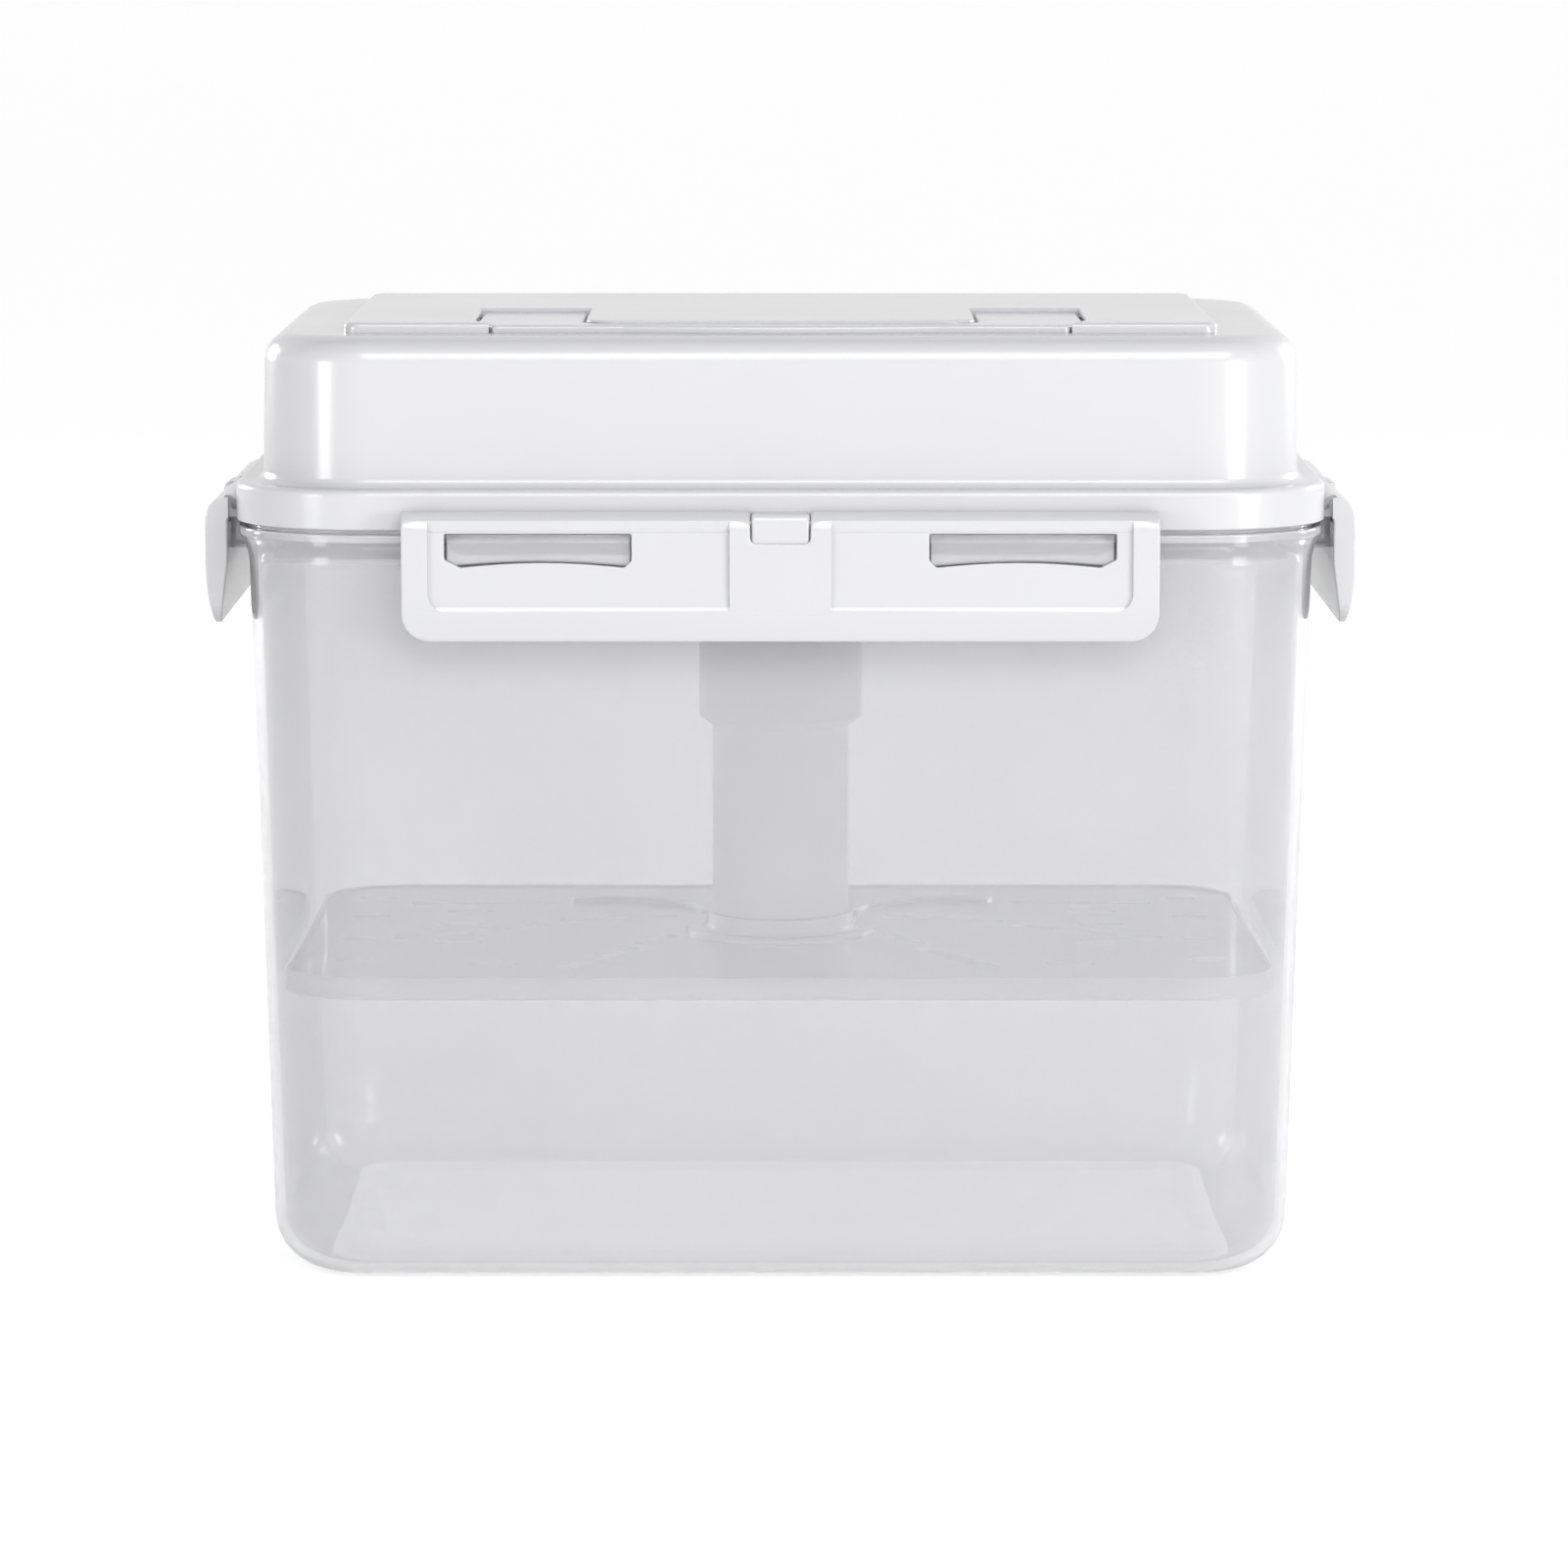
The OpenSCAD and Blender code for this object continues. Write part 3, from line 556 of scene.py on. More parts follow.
# %% [markdown]
# ## Panel and trough
# On the dome stands a low panel with a trough for the handle. The handle and its trough share one plan,
# which only grows by a gap and a wall, so the two always fit. The panel is a bevelled block joined to
# the dome, the trough's block is joined below it, and the handle's room is cut out of both.

# %% Raised panel and handle trough
PANEL = (220, 130.4)
PANEL_Y = -3.5
PANEL_R = 4
PANEL_EDGE = 1.1
JOIN = 1
PAST = 5
TROUGH_GAP = 0.7
TROUGH_WALL = 2.2
TROUGH_DEPTH = 8.1
TROUGH_EDGE = 0.5
ARM_W = 26.8
GRIP_D = 7.2
GRIP_R = 8
DRAWN_IN = 4.5
NOSE_L = 9.5
NOSE_R = 40
BOW_PEAK = 4.8
BOW_HALF = 40
BOW_R = 180
BOW_ROOT = 4
BOW_ROOM = 1.7

panel_front = PANEL_Y - PANEL[1] / 2
handle_low, handle_high = solid_box("handle")


def handle_plan(margin):
    """Plan of the handle, a wide U open to the back with its front corners drawn in, grown by a margin."""
    outside = handle_high.x + margin
    inside = handle_high.x - ARM_W - margin
    nose = outside - DRAWN_IN
    back = handle_high.y + margin
    front = panel_front - margin
    grip_back = panel_front + GRIP_D + margin
    return [
        (-nose, front, 0), (nose, front, 0), (outside, front + NOSE_L, NOSE_R), (outside, back, 0),
        (inside, back, 0), (inside, grip_back, GRIP_R), (-inside, grip_back, GRIP_R), (-inside, back, 0),
        (-outside, back, 0), (-outside, front + NOSE_L, NOSE_R),
    ]


def bow_plan(margin):
    """Plan of the grip's bowed front, grown by a margin."""
    front = panel_front - margin
    return [
        (-BOW_HALF, front, 0), (0, front - BOW_PEAK, BOW_R), (BOW_HALF, front, 0),
        (BOW_HALF, front + BOW_ROOT, 0), (-BOW_HALF, front + BOW_ROOT, 0),
    ]


panel_half = PANEL[0] / 2
panel_back = PANEL_Y + PANEL[1] / 2
panel = plan_prism("panel", [
    (-panel_half, panel_front, PANEL_R), (panel_half, panel_front, PANEL_R),
    (panel_half, panel_back, PANEL_R), (-panel_half, panel_back, PANEL_R),
], dome_z - JOIN, panel_z)
soften(panel, PANEL_EDGE, segments=4, test=lambda at: at.z > panel_z - NEAR)
combine(lid, panel, "UNION")
trough = plan_prism(
    "trough", handle_plan(TROUGH_GAP + TROUGH_WALL), panel_z - TROUGH_DEPTH - TROUGH_WALL, dome_z - JOIN
)
combine(lid, trough, "UNION")
recess = plan_prism("recess", handle_plan(TROUGH_GAP), panel_z - TROUGH_DEPTH, panel_z + PAST)
combine(lid, recess, "DIFFERENCE")
bow_room = plan_prism("bow room", bow_plan(TROUGH_GAP), dome_z - BOW_ROOM, panel_z + PAST)
combine(lid, bow_room, "DIFFERENCE")
soften(lid, TROUGH_EDGE, test=lambda at: at.z > panel_z - NEAR)
print(f"panel {PANEL[0]} x {PANEL[1]} mm, trough {TROUGH_DEPTH} mm deep")

# %% [markdown]
# ## Hinges of the latches
# Each latch turns on a pin in two small ears, and its middle is filled by a wide tab of the lid. Both have
# a round back about the pin's axis. They are short bars, so their section is drawn with an arc about that
# axis and pulled along the side of the lid.

# %% Hinge tabs and ears of the lid
AXIS_OUT = 3.5
ROOT = -1
TAB_W = 14.4
TAB_R = 6.3
TAB_OUT = 7.6
TAB_FOOT = 2.8
TAB_DROP = 0.3
TAB_TOP_R = 2
TAB_EDGE = 0.8
EAR_W = 6
EAR_R = 1.95
EAR_ROOT = 1
EAR_END = 6.5
BARREL_R = 3.1
FLAP_RISE = 3

latch_low, latch_high = solid_box("front_latch")
latch_axis_z = latch_high.z - BARREL_R
flap_top = latch_axis_z + FLAP_RISE


def about_axis(radius, first, last, steps=12):
    """Section corners along an arc about the latch's axis, between two angles in degrees."""
    turns = [math.radians(first + (last - first) * step / steps) for step in range(steps + 1)]
    return [(AXIS_OUT + radius * math.cos(t), latch_axis_z + radius * math.sin(t), 0) for t in turns]


def hinge_tab():
    """The wide tab in the middle of a latch: round about the axis, with a flat face."""
    face = math.degrees(math.acos((TAB_OUT - AXIS_OUT) / TAB_R))
    top = flap_top - TAB_DROP
    piece = bar("tab", [
        (ROOT, latch_axis_z - TAB_FOOT, 0), *about_axis(TAB_R, -90, -face),
        (TAB_OUT, top, TAB_TOP_R), (ROOT, top, 0),
    ], -TAB_W / 2, TAB_W / 2)
    soften(piece, TAB_EDGE, test=lambda at: at.y > 0)
    return piece


def hinge_ear(place):
    """A small ear round the pin, on a low root."""
    return bar("ear", [
        (ROOT, latch_axis_z - EAR_R, 0), *about_axis(EAR_R, -90, 180), (ROOT, latch_axis_z - EAR_ROOT, 0)
    ], place - EAR_W / 2, place + EAR_W / 2)


for turn, distance, latch in SIDES.values():
    ear = latch[0] / 2 - EAR_END
    for piece in (hinge_tab(), hinge_ear(-ear), hinge_ear(ear)):
        put_on_side(piece, turn, distance)
        combine(lid, piece, "UNION")
print(f"hinge axes at {latch_axis_z:.1f} mm, {AXIS_OUT} mm out from the flange")

# %% [markdown]
# ## Socket of the post
# Under the dome a round socket holds the post's sleeve. It is a ring, so its section is drawn beside the
# axis and spun. It hangs from the dome, and its lower edge is rounded where it can be touched.

# %% Socket for the post
SOCKET_WALL = 2.6
SOCKET_GAP = 0.2
SOCKET_H = 16

sleeve_low, sleeve_high = solid_box("press_sleeve")
sleeve_r = sleeve_high.x
socket_z = sleeve_high.z - SOCKET_H
socket = turned("socket", [
    (sleeve_r + SOCKET_GAP, socket_z, 0.5), (sleeve_r + SOCKET_WALL, socket_z, 0.8),
    (sleeve_r + SOCKET_WALL, dome_z - JOIN, 0), (sleeve_r + SOCKET_GAP, dome_z - JOIN, 0),
])
combine(lid, socket, "UNION")
dress(lid, "lid", "lid_shell", white_polypropylene)

# %% [markdown]
# ## The handle
# The carry handle is a flat U that lies in its trough, a little below the panel, and turns up on two
# pins. Its plan is drawn once and pulled up. The arms' ends are rounded about the pins, every edge is
# softened so that it is kind to the hand, and the arms sink a little towards the pins. The bowed front of
# the grip, where the fingers go under it, is joined on last.

# %% Handle
ARM_END_R = 2.6
ARM_DROP = 0.35
ARM_DROP_L = 3
HANDLE_EDGE = 0.9

handle = plan_prism("handle_moulding", handle_plan(0), handle_low.z, handle_high.z)
handle_mid = (handle_low.z + handle_high.z) / 2
soften(
    handle, ARM_END_R, segments=6,
    test=lambda at: at.y > handle_high.y - NEAR and abs(at.z - handle_mid) > NEAR,
)
soften(handle, HANDLE_EDGE)
open_piece(handle)
pick_points(handle, lambda at: at.y > handle_high.y - ARM_DROP_L and at.z > handle_mid)
bpy.ops.transform.translate(value=(0, 0, -ARM_DROP * MM))
leave_all()
bow = plan_prism("bow", bow_plan(0), dome_z - JOIN, handle_high.z)
soften(bow, HANDLE_EDGE)
combine(handle, bow, "UNION")
dress(handle, "handle", "handle", white_polypropylene)

# %% [markdown]
# ## The snap latches
# A latch is a flap with a curved face. Cut-outs are hard to make on a curve, so the flap is modelled
# flat: an outline, two sunk panels, two slots and a notch, with all edges rounded. Then it is cut into
# strips and each row of points is moved to its place on the curved section, which comes first here.

# %% Section of a flap
LATCH_IN = 2.35
LATCH_OUT = 8.1
SHOULDER_R = 5
FACE_R = 58
CURVE_H = 15.7
LEAN = 2.1
# The barrel runs through these angles about the axis, in degrees
BARREL_FROM = 217
BARREL_TO = 105

curve_z = latch_low.z + CURVE_H
shoulder_z = flap_top - SHOULDER_R
shoulder_up = shoulder_z - latch_low.z
flat_h = shoulder_up + SHOULDER_R * math.pi / 2
THICKNESS = LATCH_OUT - LATCH_IN


def outer_face(up):
    """Place (out, height) of the flap's outer face at a length up from the tip."""
    height = latch_low.z + up
    if up > shoulder_up:
        turn = (up - shoulder_up) / SHOULDER_R
        return Vector((
            LATCH_OUT - SHOULDER_R + SHOULDER_R * math.cos(turn), shoulder_z + SHOULDER_R * math.sin(turn)
        ))
    drop = max(0, curve_z - height)
    return Vector((LATCH_OUT - FACE_R + math.sqrt(FACE_R ** 2 - drop ** 2), height))


def inner_face(up):
    """Place of the inner face: a straight back that leans out to the tip and ends in the hinge barrel."""
    height = latch_low.z + up
    if up > shoulder_up:
        share = (up - shoulder_up) / (flat_h - shoulder_up)
        angle = math.radians(BARREL_FROM + (BARREL_TO - BARREL_FROM) * share)
        return Vector((AXIS_OUT + BARREL_R * math.cos(angle), latch_axis_z + BARREL_R * math.sin(angle)))
    return Vector((LATCH_IN + LEAN * max(0, curve_z - height) / CURVE_H, height))


print(f"flap {flat_h:.1f} mm long when flat, {THICKNESS:.2f} mm thick")

# %% Tools for the flat flap
SINK = 0.9
SUNK_R = 4.7
SUNK_GAP = 0.7
SLOT_BELOW = 7.4
SLOT_ABOVE = 1.2
# Cut corners of a slot: towards the middle of the latch, and the longer one towards its end
SLOT_CUTS = (1.8, 4)

slot_low = rim_z - SLOT_BELOW - latch_low.z
slot_high = rim_z + SLOT_ABOVE - latch_low.z


def sunk_panel(start, end):
    """Tool for a sunk panel: it fades out on the shoulder, and its lower edge is a soft slope."""
    low = BORDER + SUNK_GAP
    high = shoulder_up + 4
    depth = THICKNESS - SINK
    tool = bar("sunk panel", [
        (depth, low + 1.4, 1), (THICKNESS + 1, low - 1.2, 0), (THICKNESS + 3, low - 1.2, 0),
        (THICKNESS + 3, high, 0), (THICKNESS + 0.3, high, 0), (depth, shoulder_up, 4),
    ], start, end)
    outline = [(start, low, 1), (end, low, SUNK_R), (end, high + 1, 0), (start, high + 1, 0)]
    combine(tool, face_prism("outline", outline, 0, THICKNESS + 5), "INTERSECT")
    return tool


def catch_slot(start, end):
    """Tool for a slot: cut corners at both ends, and a lower lip that arches up in the middle."""
    side = math.copysign(1, start)
    first = start + side * SLOT_CUTS[0]
    last = end - side * SLOT_CUTS[1]
    return face_prism("slot", [
        (start, slot_low + SLOT_CUTS[0], 1), (first, slot_low, 0.8), arch(first, last, slot_low),
        (last, slot_low, 0.8), (end, slot_low + 2, 1), (end, slot_high, 0.8), (start, slot_high, 0.8),
    ], -2, THICKNESS + 2)


print(f"slots from {slot_low:.1f} to {slot_high:.1f} mm above the tip")

# %% Tools for the hinge
NOTCH_GAP = 0.25
PASS_GAP = 0.45
# The hinge's tools start this far inside the flange's face, so that they cut right through
BEHIND = -2
# How far the barrel is cut back at its ends: along the flap, below the axis and above it
END_RELIEF = (3.4, 2.3, 4.5)
RELIEF_GAP = 0.15
# Room of an ear, below the axis and above it
EAR_ROOM = (3.5, 4)
TAB_ROOM_TO = -54
TAB_ROOM_SIDE = 0.3

notch_half = TAB_W / 2 + NOTCH_GAP
notch_r = TAB_R + NOTCH_GAP
notch_low = latch_axis_z - math.sqrt(notch_r ** 2 - (LATCH_OUT - AXIS_OUT) ** 2) - latch_low.z


def tab_room():
    """Tool for the hollow in which the lid's middle tab lies."""
    corner = AXIS_OUT + notch_r * math.cos(math.radians(TAB_ROOM_TO))
    return bar("tab room", [
        (BEHIND, latch_axis_z - notch_r, 0), *about_axis(notch_r, -90, TAB_ROOM_TO),
        (corner, latch_axis_z - 1, 0), (BEHIND, latch_axis_z - 1, 0),
    ], -notch_half - TAB_ROOM_SIDE, notch_half + TAB_ROOM_SIDE)


def end_relief(first, last):
    """Tool that cuts the barrel back at one end of a flap, where the gap to the lid shows."""
    out = LATCH_IN - RELIEF_GAP
    low = latch_axis_z - END_RELIEF[1]
    high = latch_axis_z + END_RELIEF[2]
    section = [(BEHIND, low, 0), (out, low, 0), (out, high, 0), (BEHIND, high, 0)]
    return bar("end relief", section, first, last)


def ear_room(place):
    """Tool for the slot in which an ear of the lid stands when the flap turns."""
    low = latch_axis_z - EAR_ROOM[0]
    high = latch_axis_z + EAR_ROOM[1]
    return bar("ear room", [
        (BEHIND, low, 0), (AXIS_OUT, low, 0), *about_axis(EAR_R + PASS_GAP, -90, 90),
        (AXIS_OUT, high, 0), (BEHIND, high, 0),
    ], place - EAR_W / 2 - PASS_GAP, place + EAR_W / 2 + PASS_GAP)


print(f"notch for the tab {2 * notch_half:.1f} mm wide, from {notch_low:.1f} mm above the tip")

# %% Bending a flat flap
STRIPS = 30


def bend(piece):
    """Cuts a flat flap into strips and moves its points onto the curved section."""
    open_piece(piece)
    for step in range(1, STRIPS):
        bpy.ops.mesh.select_all(action="SELECT")
        bpy.ops.mesh.bisect(plane_co=(0, 0, flat_h * MM * step / STRIPS), plane_no=(0, 0, 1))
    leave_all()
    for point in piece.data.vertices:
        flat = point.co / MM
        up = min(max(flat.z, 0), flat_h)
        place = inner_face(up).lerp(outer_face(up), flat.y / THICKNESS)
        point.co = Vector((flat.x, place.x, place.y)) * MM
    open_piece(piece)
    bpy.ops.mesh.select_all(action="SELECT")
    bpy.ops.mesh.dissolve_degenerate(threshold=MERGE)
    bpy.ops.mesh.quads_convert_to_tris()
    join_up()
    leave_all()


# %% [markdown]
# ## Four flaps from one
# Two flaps are long and two are short, and otherwise they are alike, so one function makes a flap of any
# width. The bent faces are made triangles before the hinge is cut, because a bent four-sided face is not
# flat and leaves gaps in a cut.

# %% The four flaps
STRIP = 5.4
FLAP_R = 6.8
FLAP_EDGE = 0.6
SLOT_EDGE = 0.3


def on_slot(at, start, end):
    """True on the edges of a slot, within the width of their rounding."""
    across = start < abs(at.x) + SLOT_EDGE < end + 2 * SLOT_EDGE
    return across and slot_low < at.z + SLOT_EDGE < slot_high + 2 * SLOT_EDGE


def flap(name, size):
    """A flap as if on the rear side, at the flange's face, with its outer side towards +Y."""
    half = size[0] / 2
    start, end = slot_span(size)
    piece = face_prism(
        name, [(-half, 0, FLAP_R), (half, 0, FLAP_R), (half, flat_h, 0), (-half, flat_h, 0)], 0, THICKNESS
    )
    notch = face_prism("notch", [
        (-notch_half, notch_low, 1.5), (notch_half, notch_low, 1.5), (notch_half, flat_h - 2, 0),
        (notch_half + 2, flat_h + 1, 0), (-notch_half - 2, flat_h + 1, 0), (-notch_half, flat_h - 2, 0),
    ], -2, THICKNESS + 2)
    combine(piece, notch, "DIFFERENCE")
    soften(piece, FLAP_EDGE)
    for side in (-1, 1):
        combine(piece, sunk_panel(side * (TAB_W / 2 + STRIP), side * (half - BORDER)), "DIFFERENCE")
        combine(piece, catch_slot(side * start, side * end), "DIFFERENCE")
    soften(piece, SLOT_EDGE, test=lambda at: on_slot(at, start, end))
    bend(piece)
    combine(piece, tab_room(), "DIFFERENCE")
    for first, last in ((half - END_RELIEF[0], half + 1), (-half - 1, END_RELIEF[0] - half)):
        combine(piece, end_relief(first, last), "DIFFERENCE")
    for place in (half - EAR_END, EAR_END - half):
        combine(piece, ear_room(place), "DIFFERENCE")
    return piece


for side, (turn, distance, size) in SIDES.items():
    latch = flap(f"{side}_latch_moulding", size)
    put_on_side(latch, turn, distance)
    dress(latch, f"{side}_latch", f"{side}_latch", white_polypropylene)

# %% [markdown]
# ## The press
# The post is two tubes: a sleeve fixed in the lid, and a column that slides in it against a spring. A
# cylinder with a hole would have no lip to guide the column and no floor for the screw, so each section
# is drawn beside the axis and spun.

# %% Sleeve and column
POST_WALL = 2.2
POST_GAP = 0.1
SLEEVE_LIP = 3.5
SLEEVE_CHAMFER = 2.4
COLUMN_FLOOR = 5.5
SCREW_R = 1.8

column_low, column_high = solid_box("press_column")
column_r = column_high.x
sleeve = turned("sleeve_moulding", [
    (column_r + POST_GAP, sleeve_low.z, 0.1), (column_r + 0.5, sleeve_low.z, 0.2),
    (sleeve_r, sleeve_low.z + SLEEVE_CHAMFER, 0.6), (sleeve_r, sleeve_high.z, 0.5),
    (sleeve_r - POST_WALL, sleeve_high.z, 0.5), (sleeve_r - POST_WALL, sleeve_low.z + SLEEVE_LIP, 0.3),
    (column_r + POST_GAP, sleeve_low.z + SLEEVE_LIP, 0.3),
])
dress(sleeve, "lid", "press_sleeve", satin_acetal)
column = turned("column_moulding", [
    (SCREW_R, column_low.z, 0), (column_r, column_low.z, 0.3), (column_r, column_high.z, 0.8),
    (column_r - POST_WALL, column_high.z, 0.8), (column_r - POST_WALL, column_low.z + COLUMN_FLOOR, 0.6),
    (SCREW_R, column_low.z + COLUMN_FLOOR, 0),
])
dress(column, "press", "press_column", satin_acetal)

# %% [markdown]
# ## The press plate
# The plate is a thin moulding with a rim that hangs down and keeps it stiff, a fine bead round its edge, and
# a hub for the column. It follows the tub's plan, so its section is swept like the other shells, and the
# hub is turned and joined on.

# %% Plate
PLATE_T = 2.4
HUB_H = 5.7
HUB_R = column_r + 1.6
HUB_TOP = 2.6
COLLAR = (25, 1.6)
BEAD = 0.5

plate_low, plate_high = solid_box("press_plate")
plate_z = plate_high.z - HUB_H
plate_edge = plate_high.x - corner_x
plate_back = plate_z - PLATE_T
hub_back = plate_high.z - HUB_TOP
plate = sweep_round("plate_moulding", [
    (0, plate_z, 0), (plate_edge - 2.2, plate_z, 0.4), (plate_edge - 1.7, plate_z + BEAD, 0.3),
    (plate_edge - 0.35, plate_z + BEAD, 0.2), (plate_edge, plate_z - 0.6, 0.3),
    (plate_edge, plate_low.z + 1.7, 0.3), (plate_edge + 0.3, plate_low.z + 0.8, 0.2),
    (plate_edge + 0.3, plate_low.z, 0.4), (plate_edge - PLATE_T, plate_low.z, 1),
    (plate_edge - PLATE_T, plate_back, 0.8), (0, plate_back, 0),
], closed_at=(plate_z, plate_back))
hub = turned("hub", [
    (HUB_R - PLATE_T, plate_z - JOIN, 0), (COLLAR[0], plate_z - JOIN, 0),
    (COLLAR[0], plate_z + COLLAR[1], 1.2), (HUB_R, plate_z + COLLAR[1], 1.5),
    (HUB_R, plate_high.z, 0.6), (SCREW_R, plate_high.z, 0),
    (SCREW_R, hub_back, 0), (HUB_R - PLATE_T, hub_back, 0),
])
print(f"plate {2 * plate_high.x:.1f} x {2 * plate_high.y:.1f} mm at {plate_z:.1f} mm")

# %% [markdown]
# ## Ribs and slots
# Brine rises through slots in the plate, and two low ribs curl out from the hub. The slots' walls slope, so
# that the steel of the mould lets go and the edges catch the light. A slot's tool is a rounded bar whose top
# is spread, and it is turned to its place. A rib is a small section spun about its own centre.

# %% Ribs and slots of the plate
SLOT_W = 2.7
SLOT_SLOPE = math.tan(math.radians(17.6))
# The ends are not quite half round, because a full round leaves edges of no length
SLOT_ROUND = 0.85
RIB = {"centre": (45, 29), "radius": 26, "from": 63, "to": 190, "half_width": 1.3, "height": 1.4}
# Slots of the right half, each from one point to another
PLATE_SLOTS = [
    ((64, 52), (98, 51)), ((30, 28), (57, 18)), ((64, 11), (99, -12)), ((37, -30), (54, -60)),
    ((29, -8), (36, -19)), ((80, 36), (88, 36)), ((81, 13), (89, 13)), ((80, -19), (88, -19)),
    ((70, -56), (78, -56)), ((107, 60), (113, 60)), ((107, 26), (113, 26)), ((107, -12), (113, -12)),
    ((107, -47), (113, -47)),
]


def plate_slot(start, end):
    """Tool for a slot with round ends and sloping walls, from one point of the plate to another."""
    along = Vector(end) - Vector(start)
    half = SLOT_W / 2
    reach = along.length / 2 + half
    radius = half * SLOT_ROUND
    low = plate_back - 1
    high = plate_z + 1
    tool = plan_prism("plate slot", [
        (-reach, -half, radius), (reach, -half, radius), (reach, half, radius), (-reach, half, radius)
    ], low, high)
    for point in tool.data.vertices:
        if point.co.z > plate_z * MM:
            middle = min(max(point.co.x, -along.length / 2 * MM), along.length / 2 * MM)
            out = Vector((point.co.x - middle, point.co.y, 0)).normalized()
            point.co += out * SLOT_SLOPE * (high - low) * MM
    take(tool)
    tool.rotation_euler.z = math.atan2(along.y, along.x)
    tool.location = ((Vector(start) + Vector(end)) / 2 * MM).to_3d()
    bpy.ops.object.transform_apply(location=True, rotation=True, scale=True)
    return tool


def plate_rib(side):
    """A low rib that curls out from the hub."""
    piece = draw_outline("rib", [
        Vector((RIB["radius"] + p.x, 0, plate_z + p.y)) for p in rounded([
            (-RIB["half_width"], -0.5, 0), (RIB["half_width"], -0.5, 0),
            (RIB["half_width"], RIB["height"], 1), (-RIB["half_width"], RIB["height"], 1),
        ])
    ])
    bpy.ops.mesh.edge_face_add()
    bpy.ops.transform.rotate(
        value=-math.radians(RIB["from"]), orient_axis="Z", center_override=(0, 0, 0)
    )
    bpy.ops.mesh.spin(
        steps=40, angle=-math.radians(RIB["to"] - RIB["from"]), center=(0, 0, 0), axis=(0, 0, 1)
    )
    bpy.ops.mesh.select_all(action="SELECT")
    bpy.ops.transform.translate(value=(RIB["centre"][0] * MM, RIB["centre"][1] * MM, 0))
    if side < 0:
        bpy.ops.transform.mirror(constraint_axis=(True, False, False), center_override=(0, 0, 0))
    join_up()
    leave_all()
    return piece


for side in (-1, 1):
    combine(plate, plate_rib(side), "UNION")
combine(plate, hub, "UNION")
well = turned("well", [
    (0, plate_back - 1, 0), (HUB_R - PLATE_T, plate_back - 1, 0),
    (HUB_R - PLATE_T, hub_back, 0), (0, hub_back, 0),
])
combine(plate, well, "DIFFERENCE")
for start, end in PLATE_SLOTS:
    for side in (-1, 1):
        slot = plate_slot((side * start[0], start[1]), (side * end[0], end[1]))
        combine(plate, slot, "DIFFERENCE")
dress(plate, "press", "press_plate", milky_polypropylene)

# %% [markdown]
# ## The spring
# The spring is wound from steel wire and gets shorter as the column slides up. A screw modifier could
# wind it, but the solid model's helix already has the closed end turns, so its mesh is copied and its
# loose triangles are merged.

spring = bpy.data.objects.new("spring_wire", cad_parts["press_spring"].data.copy())
bpy.context.scene.collection.objects.link(spring)
open_piece(spring)
join_up()
leave_all()
dress(spring, "lid", "press_spring", drawn_steel)
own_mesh(spring)

# %% [markdown]
# ## Small parts from the solid model
# The seal, the pins, the cap of the spring, the stop ring and the screw sit inside and already have the
# right shape. They stay as they are and only get their materials.

# %% Materials of the small parts
SMALL_PARTS = {
    "lid_seal": seal_silicone, "handle_pins": drawn_steel, "plate_screw": drawn_steel,
    "sleeve_cap": satin_acetal, "column_ring": satin_acetal,
    **{f"{side}_latch_pin": drawn_steel for side in SIDES},
}
for node, material in SMALL_PARTS.items():
    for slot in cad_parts[node].material_slots:
        slot.material = material
print("small parts:", ", ".join(SMALL_PARTS))

# %% [markdown]
# ## The ground
# The photograph is a bright packshot on a pure white ground. A photographer rolls out white paper, bends it
# up behind the object so that no horizon shows, and lights the paper by itself. Here the paper is one line
# pulled sideways, and a little glow stands for its own lamps.

# %% Floor
PAPER_HALF = 9000
PAPER_LINE = [(-6000, 0, 0), (5000, 0, 2500), (5000, 8000, 0)]
PAPER_GLOW = 0.68

floor = draw_outline("floor", [Vector((-PAPER_HALF, p.x, p.y)) for p in rounded(PAPER_LINE, steps=16)])
bpy.ops.mesh.extrude_region_move(TRANSFORM_OT_translate={"value": (2 * PAPER_HALF * MM, 0, 0)})
join_up()
take(floor)
bpy.ops.object.shade_smooth()
paper = bpy.data.materials.new("white paper")
paper.use_nodes = True
paper_surface = paper.node_tree.nodes["Principled BSDF"]
paper_surface.inputs["Base Color"].default_value = hex_colour("#AAAAAA")
paper_surface.inputs["Roughness"].default_value = 0.9
paper_surface.inputs["Emission Color"].default_value = (1, 1, 1, 1)
paper_surface.inputs["Emission Strength"].default_value = PAPER_GLOW
floor.data.materials.append(paper)
print(f"floor {2 * PAPER_HALF * MM:.0f} m wide")

# %% [markdown]
# ## The light
# White plastic needs a soft light with some direction, or its edges vanish. The sky is bright at the horizon
# and dark overhead, so upright walls are bright and the top is a little greyer. A wide box in front lights
# the lid and reaches through the clear wall. Small boxes at the corners draw the highlights, and two behind
# keep the back from going grey.

# %% Light
SKY = {"horizon": 1.3, "overhead": 0.05, "up_to": 0.9}
AIM = Vector((0, 0, 0.15))

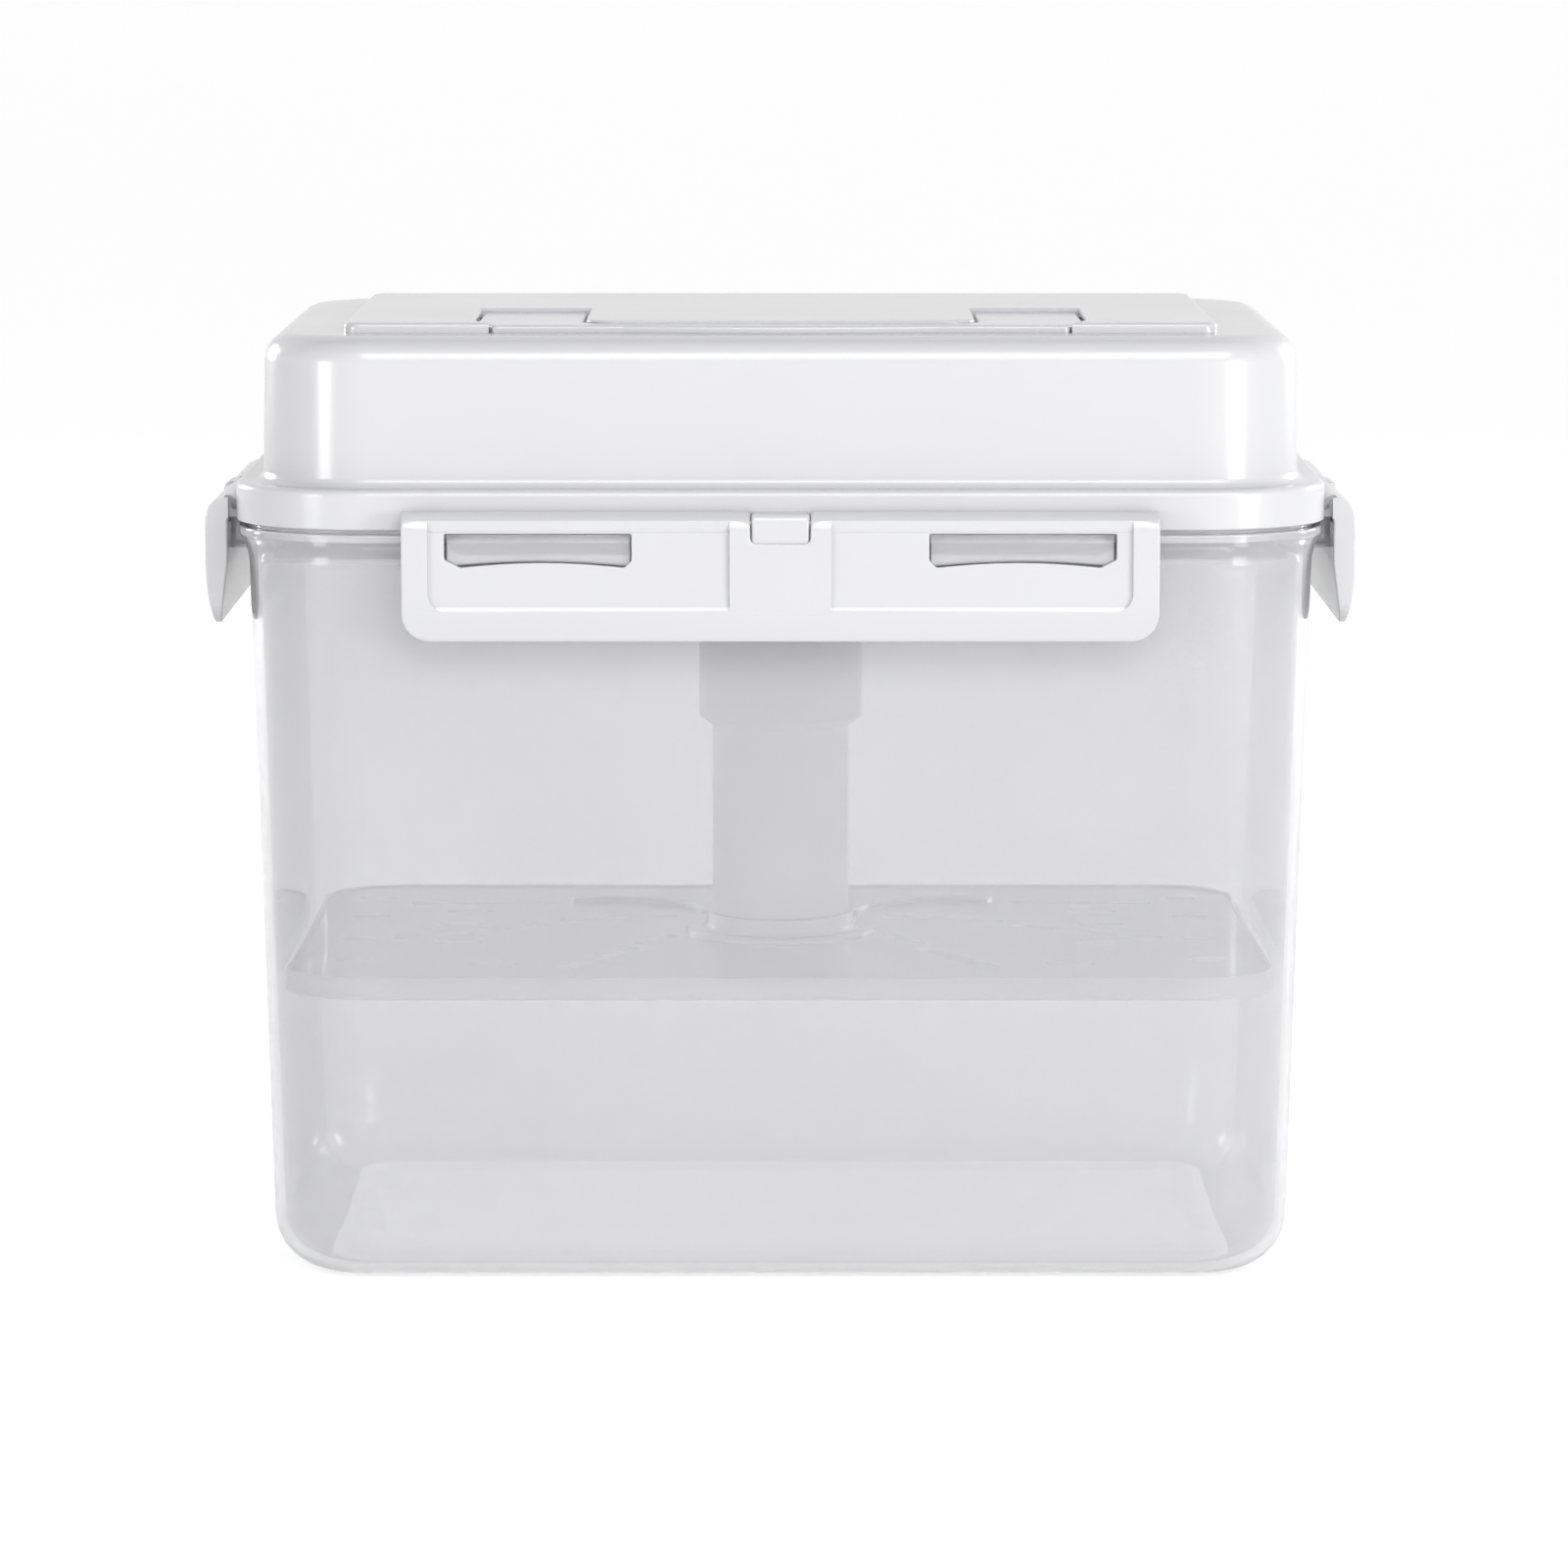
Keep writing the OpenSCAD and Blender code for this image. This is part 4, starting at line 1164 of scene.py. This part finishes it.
world = bpy.data.worlds.new("studio")
bpy.context.scene.world = world
world.use_nodes = True
sky = world.node_tree.nodes["Background"]
sky.inputs["Color"].default_value = (1, 1, 1, 1)
heading = add_node(world, "ShaderNodeTexCoord", {}).outputs["Generated"]
height = add_node(world, "ShaderNodeSeparateXYZ", {"Vector": heading}).outputs["Z"]
fade = add_node(world, "ShaderNodeMapRange", {
    "Value": height, "From Max": SKY["up_to"], "To Min": SKY["horizon"], "To Max": SKY["overhead"]
})
world.node_tree.links.new(fade.outputs["Result"], sky.inputs["Strength"])


def softbox(name, place, size, power):
    """A soft light, so wide and so high, that looks at the object."""
    leave_all()
    bpy.ops.object.light_add(type="AREA", location=place)
    lamp = bpy.context.object
    lamp.name = name
    lamp.data.shape = "RECTANGLE"
    lamp.data.size, lamp.data.size_y = size
    lamp.data.energy = power
    lamp.rotation_euler = (AIM - Vector(place)).to_track_quat("-Z", "Y").to_euler()
    print(f"{name}: {power} W at {place}")


softbox("left softbox", (-1.2, -1.0, 0.3), (0.35, 0.35), 5)
softbox("right softbox", (1.2, -1.0, 0.3), (0.35, 0.35), 9)
softbox("rear left softbox", (-1.3, 1.2, 0.5), (0.6, 0.6), 13)
softbox("rear right softbox", (1.3, 1.2, 0.5), (0.6, 0.6), 17)
softbox("front softbox", (0.6, -1.9, 1.75), (2.4, 1.0), 49)

# %% [markdown]
# ## The camera
# The photograph was taken with a long lens from a little above the lid. The camera was fitted until the
# model's outline covered the object in the photograph, and what was found is kept here as plain numbers.

# %% Camera
PHOTO_PX = 1601
FOCAL_PX = 7000
SENSOR_MM = 36
PITCH = math.radians(7.4)
CAMERA_AT = (0.0009, -1.7925, 0.3493)

leave_all()
bpy.ops.object.camera_add(location=CAMERA_AT, rotation=(math.radians(90) - PITCH, 0, 0))
camera = bpy.context.object
camera.data.sensor_width = SENSOR_MM
camera.data.lens = SENSOR_MM * FOCAL_PX / PHOTO_PX
bpy.context.scene.camera = camera
bpy.context.scene.view_settings.view_transform = "Standard"
print(f"lens {camera.data.lens:.0f} mm, {-CAMERA_AT[1]:.2f} m in front")
